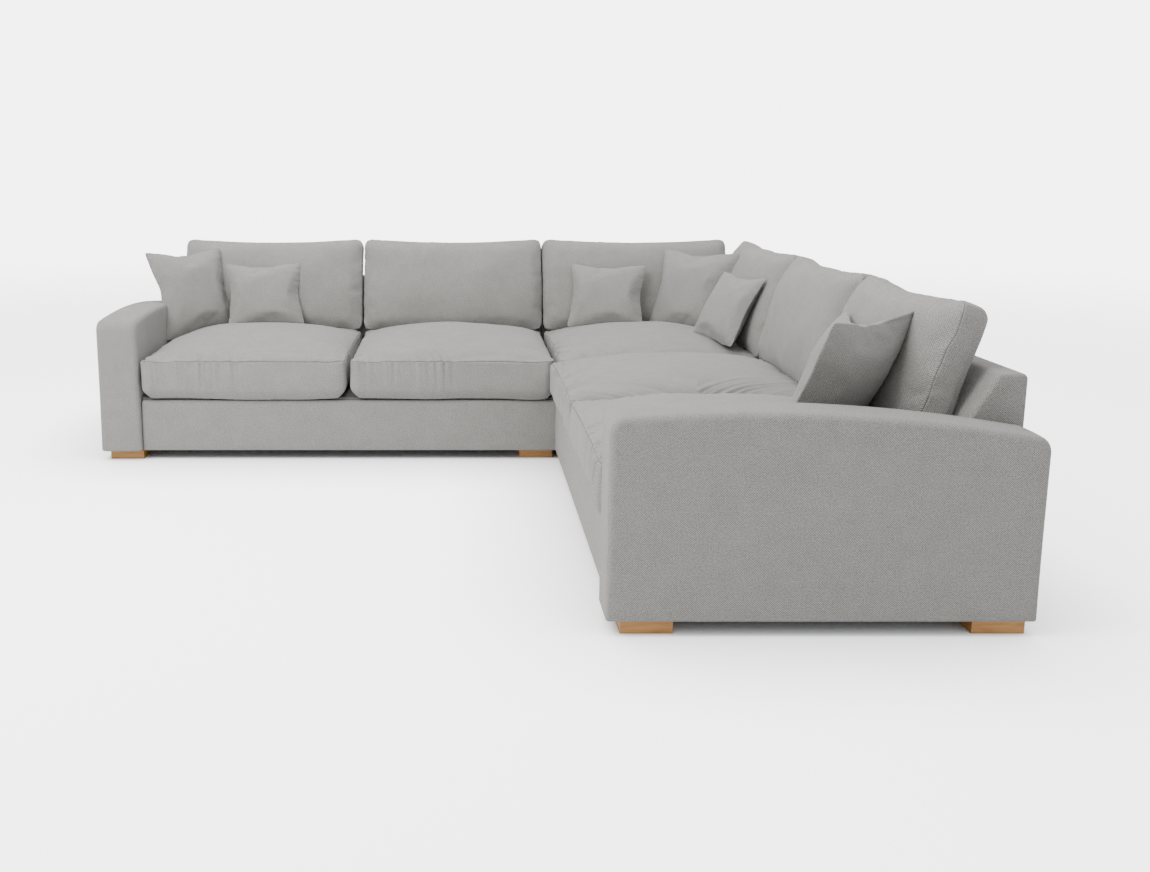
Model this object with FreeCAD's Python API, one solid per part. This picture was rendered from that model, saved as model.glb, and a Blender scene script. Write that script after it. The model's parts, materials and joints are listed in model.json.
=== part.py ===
import FreeCAD, Part
import math
import os

from FreeCAD import Vector

# Corner sofa in three units: left (arm and two seats), corner, and right, the left unit's mirror image.
# All lengths are in millimetres. The left run lies along X with its back towards +Y, and the right run
# is its mirror image in the vertical plane X = Y. The origin is on the floor at the middle of the plan.

# Overall plan
seat_pitch = 840.0        # width of one seat
arm_thickness = 162.0
arm_depth = 1102.0        # arm front to the outer face of the back
arm_overlap = 23.0        # the arm front stands this far in front of the seat base

# Heights
foot_height = 38.0
base_top = 246.0          # top of the padded front border
deck_top = 252.0          # where the seat cushions lie
back_top = 655.0          # top of the low padded back
arm_peak = 584.0          # highest line of the arm
arm_front_height = 572.0
arm_rear_height = 524.0
arm_peak_depth = 400.0
arm_corner_radius = 42.0
arm_edge_radius = 20.0

# Padded back, measured in from its outer face
back_top_depth = 74.0
back_foot_depth = 222.0
back_knee_height = 410.0  # the raked face turns upright below this height
back_edge_radius = 14.0

# Timber and padding
timber = 26.0
rail_height = 150.0
rail_depth = 45.0
padding = 18.0
border_padding = 30.0
border_edge_radius = 11.0
panel = 8.0
deck_thickness = 14.0
dust_cover_thickness = 1.6

# Springs and webbing
wire_radius = 1.9
springs_per_seat = 5
spring_bends = 11
spring_width = 46.0
spring_height = 226.0
clip_width = 24.0
clip_length = 20.0
clip_depth = 6.0
strap_width = 50.0
strap_thickness = 2.2
straps_per_seat = 4

# Feet
foot_length = 137.0
foot_width = 135.0
foot_side_inset = 25.0
foot_front_inset = 40.0
foot_rear_inset = 20.0
foot_end_inset = 10.0
foot_edge = 2.0
foot_block_height = 40.0
screw_radius = 2.5
screw_head_radius = 5.0
screw_length = 30.0
screw_head_height = 3.0
screw_spacing = 60.0
screw_recess = 12.0
screw_clearance = 0.5

# Fastening of the arms and of the units to each other
bolt_radius = 4.0
bolt_head_radius = 9.0
bolt_head_height = 4.0
bolt_height = 130.0
bolt_inset = 120.0
bolt_nut_height = 7.0

# Seat cushions
cushion_gap = 4.0         # between neighbouring cushions
seat_overhang = 33.0      # the seat cushion stands in front of the border
seat_seam_height = 152.0  # seam above the cushion's underside
seat_crown = 84.0
seat_corner_radius = 42.0
seat_drawn_in = 5.0
seat_under_round = 30.0
seat_fullness = 1.0

# Back cushions
back_cushion_height = 442.0
back_cushion_lean = 18.0
back_cushion_middle = 918.0   # depth of the cushion's middle behind the arm front
back_cushion_centre = 620.0   # height of the cushion's middle
back_front_bulge = 92.0
back_rear_bulge = 63.0
back_dip = 22.0
back_corner_radius = 40.0
back_fullness = 0.65
back_end_share = 0.7      # the crown reaches in less from the ends than from the top
right_arm_gap = 58.0      # the nearest back cushion of the right run stands off its arm
corner_cushion_end = 211.0    # end of a corner back cushion, from the outer face of the other back

# Scatter cushions
large_scatter = 402.0
small_scatter_width = 345.0
small_scatter_height = 305.0
large_scatter_bulge = 68.0
small_scatter_bulge = 52.0
scatter_drawn_in = 0.062  # the sides draw in by this part of their length
scatter_fullness = 0.8
scatter_point = 12.0

touch = 0.6               # clearance between soft pieces that lean on each other
loft_degree = 3

length = arm_thickness + 2 * seat_pitch + arm_depth - arm_overlap
unit_end = arm_thickness + 2 * seat_pitch
back_line = arm_depth - back_foot_depth
corner_back_line = length - back_foot_depth

nodes = {}


def box(x0, x1, y0, y1, z0, z1):
    return Part.makeBox(x1 - x0, y1 - y0, z1 - z0, Vector(x0, y0, z0))


def centred(shape):
    """Move a shape from its place along the run to the middle of the plan."""
    moved = shape.copy()
    moved.translate(Vector(-length / 2, length / 2 - arm_depth, 0))
    return moved


def across_corner(shape):
    """The mirror image of a piece in the upright plane through the corner."""
    return shape.mirror(Vector(length, arm_depth, 0), Vector(1, -1, 0))


def mirrored(shape):
    """The same piece of the right run."""
    return centred(across_corner(shape))


def keep(name, shape):
    nodes[name] = shape


def keep_pair(name, shape):
    """One piece in the left run and its mirror image in the right run."""
    keep("left_" + name, centred(shape))
    keep("right_" + name, mirrored(shape))


def group(shapes):
    return Part.makeCompound(shapes)


def prism(points, start, end):
    """A straight body along the run, from its outline in depth and height."""
    outline = Part.makePolygon([Vector(start, depth, height) for depth, height in points + points[:1]])
    return Part.Face(outline).extrude(Vector(end - start, 0, 0))


def rod(start, direction, radius, reach):
    return Part.makeCylinder(radius, reach, start, direction)


# Padded back and what stands inside it

rake_run = (back_foot_depth - back_top_depth) / (back_top - back_knee_height)
rake_padding = padding * math.sqrt(1 + rake_run ** 2)
frame_bottom = foot_height + dust_cover_thickness
cavity_top = back_top - padding
cavity_front = arm_depth - back_foot_depth + padding
cavity_rear = arm_depth - panel


def rake_depth(height, behind=0.0):
    """Depth of the raked face at a height, or of a face at some distance behind it."""
    return arm_depth - back_top_depth - rake_run * (back_top - height) + behind


def back_outline():
    return [
        (arm_depth, foot_height),
        (arm_depth, back_top),
        (arm_depth - back_top_depth, back_top),
        (back_line, back_knee_height),
        (back_line, foot_height),
    ]


def cavity_outline(bottom):
    knee = back_top - (arm_depth - back_top_depth + rake_padding - cavity_front) / rake_run
    return [
        (cavity_rear, bottom),
        (cavity_rear, cavity_top),
        (rake_depth(cavity_top, rake_padding), cavity_top),
        (cavity_front, knee),
        (cavity_front, bottom),
    ]


def back_cover(start, end):
    cover = prism(back_outline(), start, end)
    top_edges = [edge for edge in cover.Edges if is_along_run(edge) and edge.BoundBox.ZMin > back_top - 1]
    cover = cover.makeFillet(back_edge_radius, top_edges)
    return cover.cut(prism(cavity_outline(foot_height), start + panel, end - panel))


def is_along_run(edge):
    reach = edge.BoundBox
    return reach.XLength > 1 and reach.YLength < 0.01 and reach.ZLength < 0.01


def corner_back_cover():
    """Left half of the corner's padded back, mitred where it meets the other half."""
    cover = prism(back_outline(), unit_end, length)
    top_edges = [edge for edge in cover.Edges if is_along_run(edge) and edge.BoundBox.ZMin > back_top - 1]
    cover = cover.makeFillet(back_edge_radius, top_edges)
    cover = cover.cut(prism(cavity_outline(foot_height), unit_end + panel, length))
    return cover.cut(beyond_mitre(0.0))


def beyond_mitre(gap):
    """All that lies past the upright plane through the corner, less half of a gap."""
    size = 2 * arm_depth
    wedge = Part.makePolygon([
        Vector(length - gap, arm_depth, 0),
        Vector(length - gap + size, arm_depth + size, 0),
        Vector(length - gap + size, arm_depth - size, 0),
        Vector(length - gap - size, arm_depth - size, 0),
        Vector(length - gap, arm_depth, 0),
    ])
    return Part.Face(wedge).extrude(Vector(0, 0, 2 * back_top))


def back_rails(start, end):
    """Bottom, middle and top rail along the outer face of the back."""
    return [
        box(start, end, cavity_rear - timber, cavity_rear, height, height + rail_depth)
        for height in (frame_bottom, back_knee_height, cavity_top - rail_depth)
    ]


def back_bays(upright_starts):
    """Uprights and the rails between them, inside the padded back."""
    pieces = [prism(cavity_outline(frame_bottom), start, start + timber) for start in upright_starts]
    for start, end in zip(upright_starts, upright_starts[1:]):
        pieces += back_rails(start + timber, end)
        pieces.append(box(start + timber, end, cavity_front, cavity_front + timber, frame_bottom,
                          frame_bottom + rail_height))
    return pieces


def straps(start, end):
    """Elastic webbing behind the raked face, from upright to upright."""
    low = back_knee_height + strap_width / 2
    step = (cavity_top - strap_width - low) / (straps_per_seat - 1)
    rise = strap_width / math.sqrt(1 + rake_run ** 2)
    through = strap_thickness * math.sqrt(1 + rake_run ** 2)
    pieces = []
    for number in range(straps_per_seat):
        bottom = low + number * step
        top = bottom + rise
        pieces.append(prism([
            (rake_depth(bottom, rake_padding), bottom),
            (rake_depth(top, rake_padding), top),
            (rake_depth(top, rake_padding + through), top),
            (rake_depth(bottom, rake_padding + through), bottom),
        ], start, end))
    return pieces


# Seat base

base_front = arm_overlap + border_padding
deck_bottom = deck_top - deck_thickness


def front_border():
    border = box(arm_thickness, unit_end, arm_overlap, base_front, foot_height, base_top)
    front = [
        edge for edge in border.Edges
        if edge.BoundBox.YMax < arm_overlap + 0.01 and edge.BoundBox.ZMax > foot_height + 1
    ]
    return border.makeFillet(border_edge_radius, front)


def seat_rails(start, end, front, rear, cross_starts):
    """Front and rear rails with the cross rails between them."""
    pieces = [
        box(start, end, front, front + timber, frame_bottom, deck_bottom),
        box(start, end, rear - timber, rear, frame_bottom, deck_bottom),
    ]
    for cross in cross_starts:
        pieces.append(box(cross, cross + timber, front + timber, rear - timber, frame_bottom, deck_bottom))
    return pieces


def sinuous_spring(middle, front, rear):
    """A wire that waves from side to side between its two clips."""
    step = (rear - front) / spring_bends
    waves = []
    for number in range(spring_bends):
        begin = front + number * step
        side = spring_width / 2 * (1 if number % 2 == 0 else -1)
        waves.append(Part.Arc(
            Vector(middle, begin, spring_height),
            Vector(middle + side, begin + step / 2, spring_height),
            Vector(middle, begin + step, spring_height),
        ).toShape())
    path = Part.Wire(waves)
    first = waves[0]
    heading = first.tangentAt(first.FirstParameter)
    ring = Part.Wire(Part.makeCircle(wire_radius, Vector(middle, front, spring_height), heading))
    return path.makePipeShell([ring], True, False)


def spring_field(start, end, front, rear):
    """Springs of one seat opening and the clips that hold them, as two lists."""
    springs = []
    clips = []
    pitch = (end - start) / springs_per_seat
    for number in range(springs_per_seat):
        middle = start + (number + 0.5) * pitch
        spring = sinuous_spring(middle, front + clip_length, rear - clip_length)
        for begin in (front, rear - clip_length):
            clip = box(middle - clip_width / 2, middle + clip_width / 2, begin, begin + clip_length,
                       spring_height - clip_depth, deck_bottom)
            spring = spring.cut(clip)
            clips.append(clip)
        springs.append(spring)
    return springs, clips


# Arm

def arm_outline(inset):
    """Side view of the arm: upright front, round shoulders and a top that falls away to the back."""
    round_off = arm_corner_radius - inset
    diagonal = round_off / math.sqrt(2)
    front_centre = (arm_corner_radius, arm_front_height - arm_corner_radius)
    rear_centre = (arm_depth - arm_corner_radius, arm_rear_height - arm_corner_radius)
    points = {
        "foot_front": (inset, foot_height),
        "front": (inset, front_centre[1]),
        "front_shoulder": (front_centre[0] - diagonal, front_centre[1] + diagonal),
        "top_front": (front_centre[0], arm_front_height - inset),
        "peak": (arm_peak_depth, arm_peak - inset),
        "top_rear": (rear_centre[0], arm_rear_height - inset),
        "rear_shoulder": (rear_centre[0] + diagonal, rear_centre[1] + diagonal),
        "rear": (arm_depth - inset, rear_centre[1]),
        "foot_rear": (arm_depth - inset, foot_height),
    }
    return {name: Vector(0, depth, height) for name, (depth, height) in points.items()}


def arm_section(inset, across):
    """Closed side outline of the arm at a place across it."""
    at = arm_outline(inset)
    edges = [
        Part.LineSegment(at["foot_front"], at["front"]).toShape(),
        Part.Arc(at["front"], at["front_shoulder"], at["top_front"]).toShape(),
        Part.Arc(at["top_front"], at["peak"], at["top_rear"]).toShape(),
        Part.Arc(at["top_rear"], at["rear_shoulder"], at["rear"]).toShape(),
        Part.LineSegment(at["rear"], at["foot_rear"]).toShape(),
        Part.LineSegment(at["foot_rear"], at["foot_front"]).toShape(),
    ]
    section = Part.Wire(edges)
    section.translate(Vector(across, 0, 0))
    return section


def arm_body(inset, start, end):
    return Part.Face(arm_section(inset, start)).extrude(Vector(end - start, 0, 0))


def soft_arm():
    """The arm's outer form: its front, top and back roll over into the two sides."""
    roll = [(arm_edge_radius * (1 - math.sin(math.radians(angle))),
             arm_edge_radius * (1 - math.cos(math.radians(angle)))) for angle in range(0, 91, 18)]
    near_side = [arm_section(inset, across) for inset, across in roll]
    far_side = [arm_section(inset, arm_thickness - across) for inset, across in reversed(roll)]
    return Part.makeLoft(near_side + far_side, True, True)


def arm_cover():
    return soft_arm().cut(arm_body(padding, padding, arm_thickness - padding))


def arm_frame():
    """Two side frames of rails and uprights with a cap board, inside the arm's padding."""
    inner = arm_thickness - padding
    front_height = arm_front_height - arm_corner_radius
    rear_height = arm_rear_height - arm_corner_radius
    front = padding
    rear = arm_depth - padding
    pieces = [
        box(padding, inner, front, front + timber, frame_bottom, front_height),
        box(padding, inner, rear - timber, rear, frame_bottom, rear_height),
        box(padding, inner, front + timber, rear - timber, rear_height - timber, rear_height),
    ]
    for side in (padding, inner - timber):
        pieces.append(box(side, side + timber, front + timber, rear - timber, frame_bottom,
                          frame_bottom + rail_height))
    middle = arm_depth / 2
    pieces.append(box(padding, inner, middle - timber / 2, middle + timber / 2, frame_bottom + rail_height,
                      rear_height - timber))
    for foot_front in arm_foot_fronts():
        pieces.append(box(padding + timber, inner - timber, max(foot_front, front + timber),
                          min(foot_front + foot_length, rear - timber), frame_bottom,
                          frame_bottom + foot_block_height))
    return pieces


# Feet

def arm_foot_fronts():
    return (foot_front_inset, arm_depth - foot_rear_inset - foot_length)


def foot(left, front):
    block = box(left, left + foot_width, front, front + foot_length, 0, foot_height)
    upright = [edge for edge in block.Edges if edge.BoundBox.ZLength > 1]
    return block.makeFillet(foot_edge, upright)


def foot_screws(left, front):
    """Two screws, their heads sunk into the underside of the foot."""
    pieces = []
    for side in (-0.5, 0.5):
        centre = Vector(left + foot_width / 2, front + foot_length / 2 + side * screw_spacing, screw_recess)
        head = rod(centre, Vector(0, 0, 1), screw_head_radius, screw_head_height)
        pieces.append(head.fuse(rod(centre, Vector(0, 0, 1), screw_radius, screw_length)).removeSplitter())
    return pieces


def screw_holes(left, front):
    """Room for the screws: a recess for each head below and a close hole above."""
    holes = []
    for side in (-0.5, 0.5):
        centre = Vector(left + foot_width / 2, front + foot_length / 2 + side * screw_spacing, 0)
        seat_height = screw_recess + screw_head_height
        holes.append(rod(centre, Vector(0, 0, 1), screw_head_radius + screw_clearance, seat_height))
        holes.append(rod(centre, Vector(0, 0, 1), screw_radius, screw_recess + screw_length))
    return holes


def drilled(pieces, holes):
    """The same pieces with every hole taken out that reaches them."""
    result = []
    for piece in pieces:
        reached = [hole for hole in holes if piece.BoundBox.intersect(hole.BoundBox)]
        result.append(piece.cut(reached) if reached else piece)
    return result


# Left unit, and the right one as its mirror image

arm_foot_places = [(foot_side_inset, front) for front in arm_foot_fronts()]
inner_foot_left = unit_end - foot_end_inset - foot_width
base_foot_places = [
    (inner_foot_left, arm_overlap + foot_front_inset),
    (inner_foot_left, back_line - foot_rear_inset - foot_length),
]
unit_foot_places = arm_foot_places + base_foot_places
unit_screw_holes = [hole for place in unit_foot_places for hole in screw_holes(*place)]
unit_feet = drilled([foot(*place) for place in unit_foot_places], unit_screw_holes)
unit_screws = [screw for place in unit_foot_places for screw in foot_screws(*place)]

bolt_depths = (base_front + bolt_inset, back_line - bolt_inset)
arm_bolt_start = arm_thickness - padding - timber
arm_bolt_reach = padding + 2 * timber
arm_bolts = []
arm_bolt_holes = []
joining_bolts = []
joining_nuts = []
joining_holes = []
along = Vector(1, 0, 0)
for depth in bolt_depths:
    begin = Vector(arm_bolt_start, depth, bolt_height)
    head = Vector(arm_bolt_start + arm_bolt_reach, depth, bolt_height)
    shank = rod(begin, along, bolt_radius, arm_bolt_reach)
    arm_bolts.append(shank.fuse(rod(head, along, bolt_head_radius, bolt_head_height)).removeSplitter())
    arm_bolt_holes.append(rod(begin, along, bolt_radius, arm_bolt_reach))
    begin = Vector(unit_end - timber, depth, bolt_height)
    reach = 2 * timber + bolt_nut_height
    shank = rod(begin, along, bolt_radius, reach)
    head = rod(begin - along * bolt_head_height, along, bolt_head_radius, bolt_head_height)
    joining_bolts.append(shank.fuse(head).removeSplitter())
    nut = rod(begin + along * 2 * timber, along, bolt_head_radius, bolt_nut_height)
    joining_nuts.append(nut.cut(rod(begin, along, bolt_radius, reach)))
    joining_holes.append(rod(begin, along, bolt_radius, reach))

middle_rail = arm_thickness + seat_pitch - timber / 2
rail_starts = [arm_thickness, middle_rail, unit_end - timber]
seat_frame = seat_rails(arm_thickness, unit_end, base_front, back_line, rail_starts)
for left, front in base_foot_places:
    block_front = max(front, base_front + timber)
    block_rear = min(front + foot_length, back_line - timber)
    seat_frame.append(box(left, unit_end - timber, block_front, block_rear, frame_bottom,
                          frame_bottom + foot_block_height))
seat_frame = drilled(seat_frame, unit_screw_holes + arm_bolt_holes + joining_holes)

springs = []
clips = []
for start, end in ((arm_thickness + timber, middle_rail), (middle_rail + timber, unit_end - timber)):
    seat_springs, seat_clips = spring_field(start, end, base_front + timber, back_line - timber)
    springs += seat_springs
    clips += seat_clips

unit_back_start = arm_thickness + panel
back_middle = arm_thickness + seat_pitch - timber / 2
back_uprights = [unit_back_start, back_middle, unit_end - panel - timber]
webbing = straps(unit_back_start + timber, back_middle)
webbing += straps(back_middle + timber, unit_end - panel - timber)

dust_cover = [
    box(arm_thickness, unit_end, base_front, back_line, foot_height, frame_bottom),
    box(unit_back_start, unit_end - panel, cavity_front, cavity_rear, foot_height, frame_bottom),
    box(padding, arm_thickness - padding, padding, arm_depth - padding, foot_height, frame_bottom),
]

keep_pair("seat_frame", group(seat_frame))
keep_pair("seat_springs", group(springs))
keep_pair("spring_clips", group(clips))
keep_pair("deck_pad", box(arm_thickness, unit_end, base_front, back_line, deck_bottom, deck_top))
keep_pair("front_border", front_border())
keep_pair("back_frame", group(back_bays(back_uprights)))
keep_pair("back_webbing", group(webbing))
keep_pair("back_cover", back_cover(arm_thickness, unit_end))
keep_pair("dust_cover", group(drilled(dust_cover, unit_screw_holes)))
keep_pair("arm_frame", group(drilled(arm_frame(), unit_screw_holes + arm_bolt_holes)))
keep_pair("arm_cover", drilled([arm_cover()], arm_bolt_holes)[0])
keep_pair("arm_bolts", group(arm_bolts))
keep_pair("joining_bolts", group(joining_bolts))
keep_pair("joining_nuts", group(joining_nuts))
keep_pair("feet", group(unit_feet))


# Corner unit

corner_foot_places = [
    (unit_end + foot_end_inset, arm_overlap + foot_front_inset),
    (unit_end + foot_end_inset, back_line - foot_rear_inset - foot_length),
    (corner_back_line - foot_rear_inset - foot_width, arm_overlap + foot_front_inset),
    (corner_back_line - foot_rear_inset - foot_width, back_line - foot_rear_inset - foot_length),
]
corner_screw_holes = [hole for place in corner_foot_places for hole in screw_holes(*place)]
corner_feet = drilled([foot(*place) for place in corner_foot_places], corner_screw_holes)
corner_screws = [screw for place in corner_foot_places for screw in foot_screws(*place)]

mirrored_joining_holes = [across_corner(hole) for hole in joining_holes]
corner_frame = seat_rails(unit_end, corner_back_line, arm_overlap, back_line,
                          [unit_end, corner_back_line - timber])
for left, front in corner_foot_places:
    corner_frame.append(box(max(left, unit_end + timber), min(left + foot_width, corner_back_line - timber),
                            max(front, arm_overlap + timber), min(front + foot_length, back_line - timber),
                            frame_bottom, frame_bottom + foot_block_height))
corner_frame = drilled(corner_frame, corner_screw_holes + joining_holes + mirrored_joining_holes)

corner_springs, corner_clips = spring_field(unit_end + timber, corner_back_line - timber,
                                            arm_overlap + timber, back_line - timber)

half_uprights = [unit_end + panel, corner_back_line - timber]
post_start = length - panel - 2 * timber
half_frame = back_bays(half_uprights) + back_rails(corner_back_line, post_start)
post = box(post_start, length - panel, cavity_rear - 2 * timber, cavity_rear, frame_bottom, cavity_top)
half_webbing = straps(half_uprights[0] + timber, half_uprights[1])
half_back = box(unit_end + panel, length, cavity_front, cavity_rear, foot_height, frame_bottom)

keep("corner_seat_frame", centred(group(corner_frame)))
keep("corner_seat_springs", centred(group(corner_springs)))
keep("corner_spring_clips", centred(group(corner_clips)))
corner_pad = box(unit_end, corner_back_line, arm_overlap, back_line, deck_bottom, deck_top)
keep("corner_deck_pad", centred(corner_pad))
keep("corner_back_frame", group(
    [centred(piece) for piece in half_frame] + [mirrored(piece) for piece in half_frame] + [centred(post)]))
keep("corner_back_webbing", group(
    [centred(piece) for piece in half_webbing] + [mirrored(piece) for piece in half_webbing]))
keep("corner_back_cover_left", centred(corner_back_cover()))
keep("corner_back_cover_right", mirrored(corner_back_cover()))
dust_half = half_back.cut(beyond_mitre(0.0))
corner_dust = box(unit_end, corner_back_line, arm_overlap, back_line, foot_height, frame_bottom)
keep("corner_dust_cover", group(
    [centred(drilled([corner_dust], corner_screw_holes)[0]), centred(dust_half), mirrored(dust_half)]))
keep("corner_feet", centred(group(corner_feet)))
keep("foot_screws", group(
    [centred(screw) for screw in unit_screws + corner_screws] + [mirrored(screw) for screw in unit_screws]))


# Cushions

def rounded_outline(place, reach, cut, drawn):
    """Closed outline of four side arcs and four corner arcs.

    reach holds the outline's left, right, lower and upper limits, cut the corner size, and drawn how far
    the two flanks, the lower and the upper side draw in at their middle. place turns it into space.
    """
    left, right, low, high = reach
    flank, under, over = drawn
    middle_u = (left + right) / 2
    middle_v = (low + high) / 2
    near = cut * (1 - math.sqrt(0.5))
    arcs = [
        ((left + cut, low), (middle_u, low + under), (right - cut, low)),
        ((right - cut, low), (right - near, low + near), (right, low + cut)),
        ((right, low + cut), (right - flank, middle_v), (right, high - cut)),
        ((right, high - cut), (right - near, high - near), (right - cut, high)),
        ((right - cut, high), (middle_u, high - over), (left + cut, high)),
        ((left + cut, high), (left + near, high - near), (left, high - cut)),
        ((left, high - cut), (left + flank, middle_v), (left, low + cut)),
        ((left, low + cut), (left + near, low + near), (left + cut, low)),
    ]
    return Part.Wire([Part.Arc(*[place(*point) for point in arc]).toShape() for arc in arcs])


def crown(bulge, half, fullness):
    """Level and inset of the outlines of a crown, from its edge to the flat of its middle."""
    steps = []
    for share in (0.0, 0.14, 0.32, 0.55, 0.85):
        steps.append((bulge * (1 - (1 - share) ** 2) ** fullness, half * share))
    return steps


def grown_corner(corner, reach, share):
    """Corner size of a crown's outline: rounder the nearer it lies to the crown's middle."""
    left, right, low, high = reach
    round_corner = 0.42 * min(right - left, high - low)
    return corner + (round_corner - corner) * share


def seat_outline(reach, height, share):
    """Outline of a seat cushion at a height, share being the way in from its edge to its middle."""
    def place(across, depth):
        return Vector(across, depth, deck_top + height)

    drawn = seat_drawn_in * (1 - share) + 0.3
    corner = grown_corner(seat_corner_radius, reach, share)
    return rounded_outline(place, reach, corner, (drawn, drawn, drawn))


def seat_cushion(left, right, front, rear):
    """Boxed cushion: a flat underside, an upright border and a crowned top that meet in a seam."""
    half = min(right - left, rear - front) / 2
    border = []
    for angle in (0, 30, 60, 90):
        inset = seat_under_round * (1 - math.sin(math.radians(angle)))
        height = seat_under_round * (1 - math.cos(math.radians(angle)))
        border.append(seat_outline((left + inset, right - inset, front + inset, rear - inset), height, 0.0))
    for share in (0.4, 0.7, 1.0):
        border.append(seat_outline((left, right, front, rear), seat_seam_height * share, 0.0))
    top = []
    for level, inset in crown(seat_crown, half, seat_fullness):
        top.append(seat_outline((left + inset, right - inset, front + inset, rear - inset),
                                seat_seam_height + level, inset / half))
    return joined(border, top)


def joined(lower, upper):
    """Two lofted halves that meet in the outline they share."""
    lower_half = Part.makeLoft(lower, True, False, False, loft_degree)
    upper_half = Part.makeLoft(upper, True, False, False, loft_degree)
    return lower_half.fuse(upper_half).Solids[0]


def leaning_frame(middle, turn, lean):
    """Three directions of a leaning cushion: across it, up along it and out of its front."""
    turned = math.radians(turn)
    tilted = math.radians(lean)
    across = Vector(math.cos(turned), math.sin(turned), 0)
    facing = Vector(math.sin(turned), -math.cos(turned), 0)
    up = Vector(0, 0, 1) * math.cos(tilted) - facing * math.sin(tilted)
    out = across.cross(up)

    def place_at(level):
        def place(u, v):
            return middle + across * u + up * v + out * level
        return place
    return place_at


def back_cushion(left, right):
    """Crowned cushion that leans on the padded back, its top edge dipping between the corners."""
    middle = Vector((left + right) / 2, back_cushion_middle, back_cushion_centre)
    place_at = leaning_frame(middle, 0.0, back_cushion_lean)
    half_width = (right - left) / 2
    half_height = back_cushion_height / 2

    def outline(level, inset):
        share = inset / half_height
        ends = inset * back_end_share
        reach = (-half_width + ends, half_width - ends, -half_height + inset * 0.6, half_height - inset)
        return rounded_outline(place_at(level), reach, grown_corner(back_corner_radius, reach, share),
                               (2.0 * (1 - share) + 0.3, 0.3, back_dip * (1 - share) + 0.3))

    rear = [outline(-level, inset) for level, inset in crown(back_rear_bulge, half_height, back_fullness)]
    front = [outline(level, inset) for level, inset in crown(back_front_bulge, half_height, back_fullness)]
    return joined(rear, front)


def scatter_cushion(across, depth, height, turn, lean, width, tall, bulge):
    """Knife-edged cushion with pointed corners and drawn-in sides."""
    place_at = leaning_frame(Vector(across, depth, height), turn, lean)
    half = tall / 2

    def outline(level, inset):
        share = inset / half
        reach = (inset - width / 2, width / 2 - inset, inset - half, half - inset)
        drawn = scatter_drawn_in * (1 - share) ** 2
        return rounded_outline(place_at(level), reach, grown_corner(scatter_point, reach, share),
                               (drawn * tall + 0.2, drawn * width + 0.2, drawn * width + 0.2))

    rear = [outline(-level, inset) for level, inset in crown(bulge, half, scatter_fullness)]
    front = [outline(level, inset) for level, inset in crown(bulge, half, scatter_fullness)]
    return joined(rear, front)


def pressed(cushion, supports):
    """A cushion takes the shape of what it lies on or leans against."""
    for support, away in supports:
        moved = support.copy()
        moved.translate(away * touch)
        cushion = cushion.cut(moved)
    solids = sorted(cushion.Solids, key=lambda solid: solid.Volume)
    return solids[-1]


upward = Vector(0, 0, 1)
forward = Vector(0, -1, 0)
half_gap = cushion_gap / 2
seat_front = arm_overlap - seat_overhang
seat_rear = back_line - half_gap

first_seat = (arm_thickness + half_gap, arm_thickness + seat_pitch - half_gap)
seat_outer = seat_cushion(*first_seat, seat_front, seat_rear)
seat_inner = seat_cushion(arm_thickness + seat_pitch + half_gap, unit_end - half_gap, seat_front, seat_rear)
# The right run's inner cushion stops short of the left run's cushion fronts, and the corner one reaches it.
seat_inner_right = seat_cushion(arm_thickness + seat_pitch + half_gap, unit_end - seat_overhang - half_gap,
                                seat_front, seat_rear)
corner_seat = (unit_end + half_gap, corner_back_line - half_gap)
seat_corner = seat_cushion(*corner_seat, seat_front + half_gap, seat_rear)

keep_pair("seat_cushion_outer", seat_outer)
keep("left_seat_cushion_inner", centred(seat_inner))
keep("right_seat_cushion_inner", mirrored(seat_inner_right))
keep("corner_seat_cushion", centred(seat_corner))


def seated_back(left, right, seat, cover):
    return pressed(back_cushion(left, right), [(seat, upward), (cover, forward)])


unit_cover = prism(back_outline(), arm_thickness, length)
back_outer = seated_back(*first_seat, seat_outer, unit_cover)
back_outer_right = seated_back(arm_thickness + right_arm_gap, arm_thickness + seat_pitch - half_gap,
                               seat_outer, unit_cover)
back_inner = seated_back(arm_thickness + seat_pitch + half_gap, unit_end - half_gap, seat_inner, unit_cover)
back_inner_right = seated_back(arm_thickness + seat_pitch + half_gap, unit_end - seat_overhang - half_gap,
                               seat_inner_right, unit_cover)
back_corner = seated_back(unit_end + half_gap, length - corner_cushion_end, seat_corner, unit_cover)
back_corner = back_corner.cut(beyond_mitre(cushion_gap))
back_corner_right = seated_back(unit_end - seat_overhang + half_gap, length - corner_cushion_end,
                                across_corner(seat_corner), unit_cover)
back_corner_right = back_corner_right.cut(beyond_mitre(cushion_gap))

keep("left_back_cushion_outer", centred(back_outer))
keep("right_back_cushion_outer", mirrored(back_outer_right))
keep("left_back_cushion_inner", centred(back_inner))
keep("right_back_cushion_inner", mirrored(back_inner_right))
keep("corner_back_cushion_left", centred(back_corner))
keep("corner_back_cushion_right", mirrored(back_corner_right))


# Scatter cushions: place along the run, depth, height, turn, lean

def large_cushion(across, depth, height, turn, lean):
    size = (large_scatter, large_scatter, large_scatter_bulge)
    return scatter_cushion(across, depth, height, turn, lean, *size)


def small_cushion(across, depth, height, turn, lean):
    return scatter_cushion(across, depth, height, turn, lean, small_scatter_width, small_scatter_height,
                           small_scatter_bulge)


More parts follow.
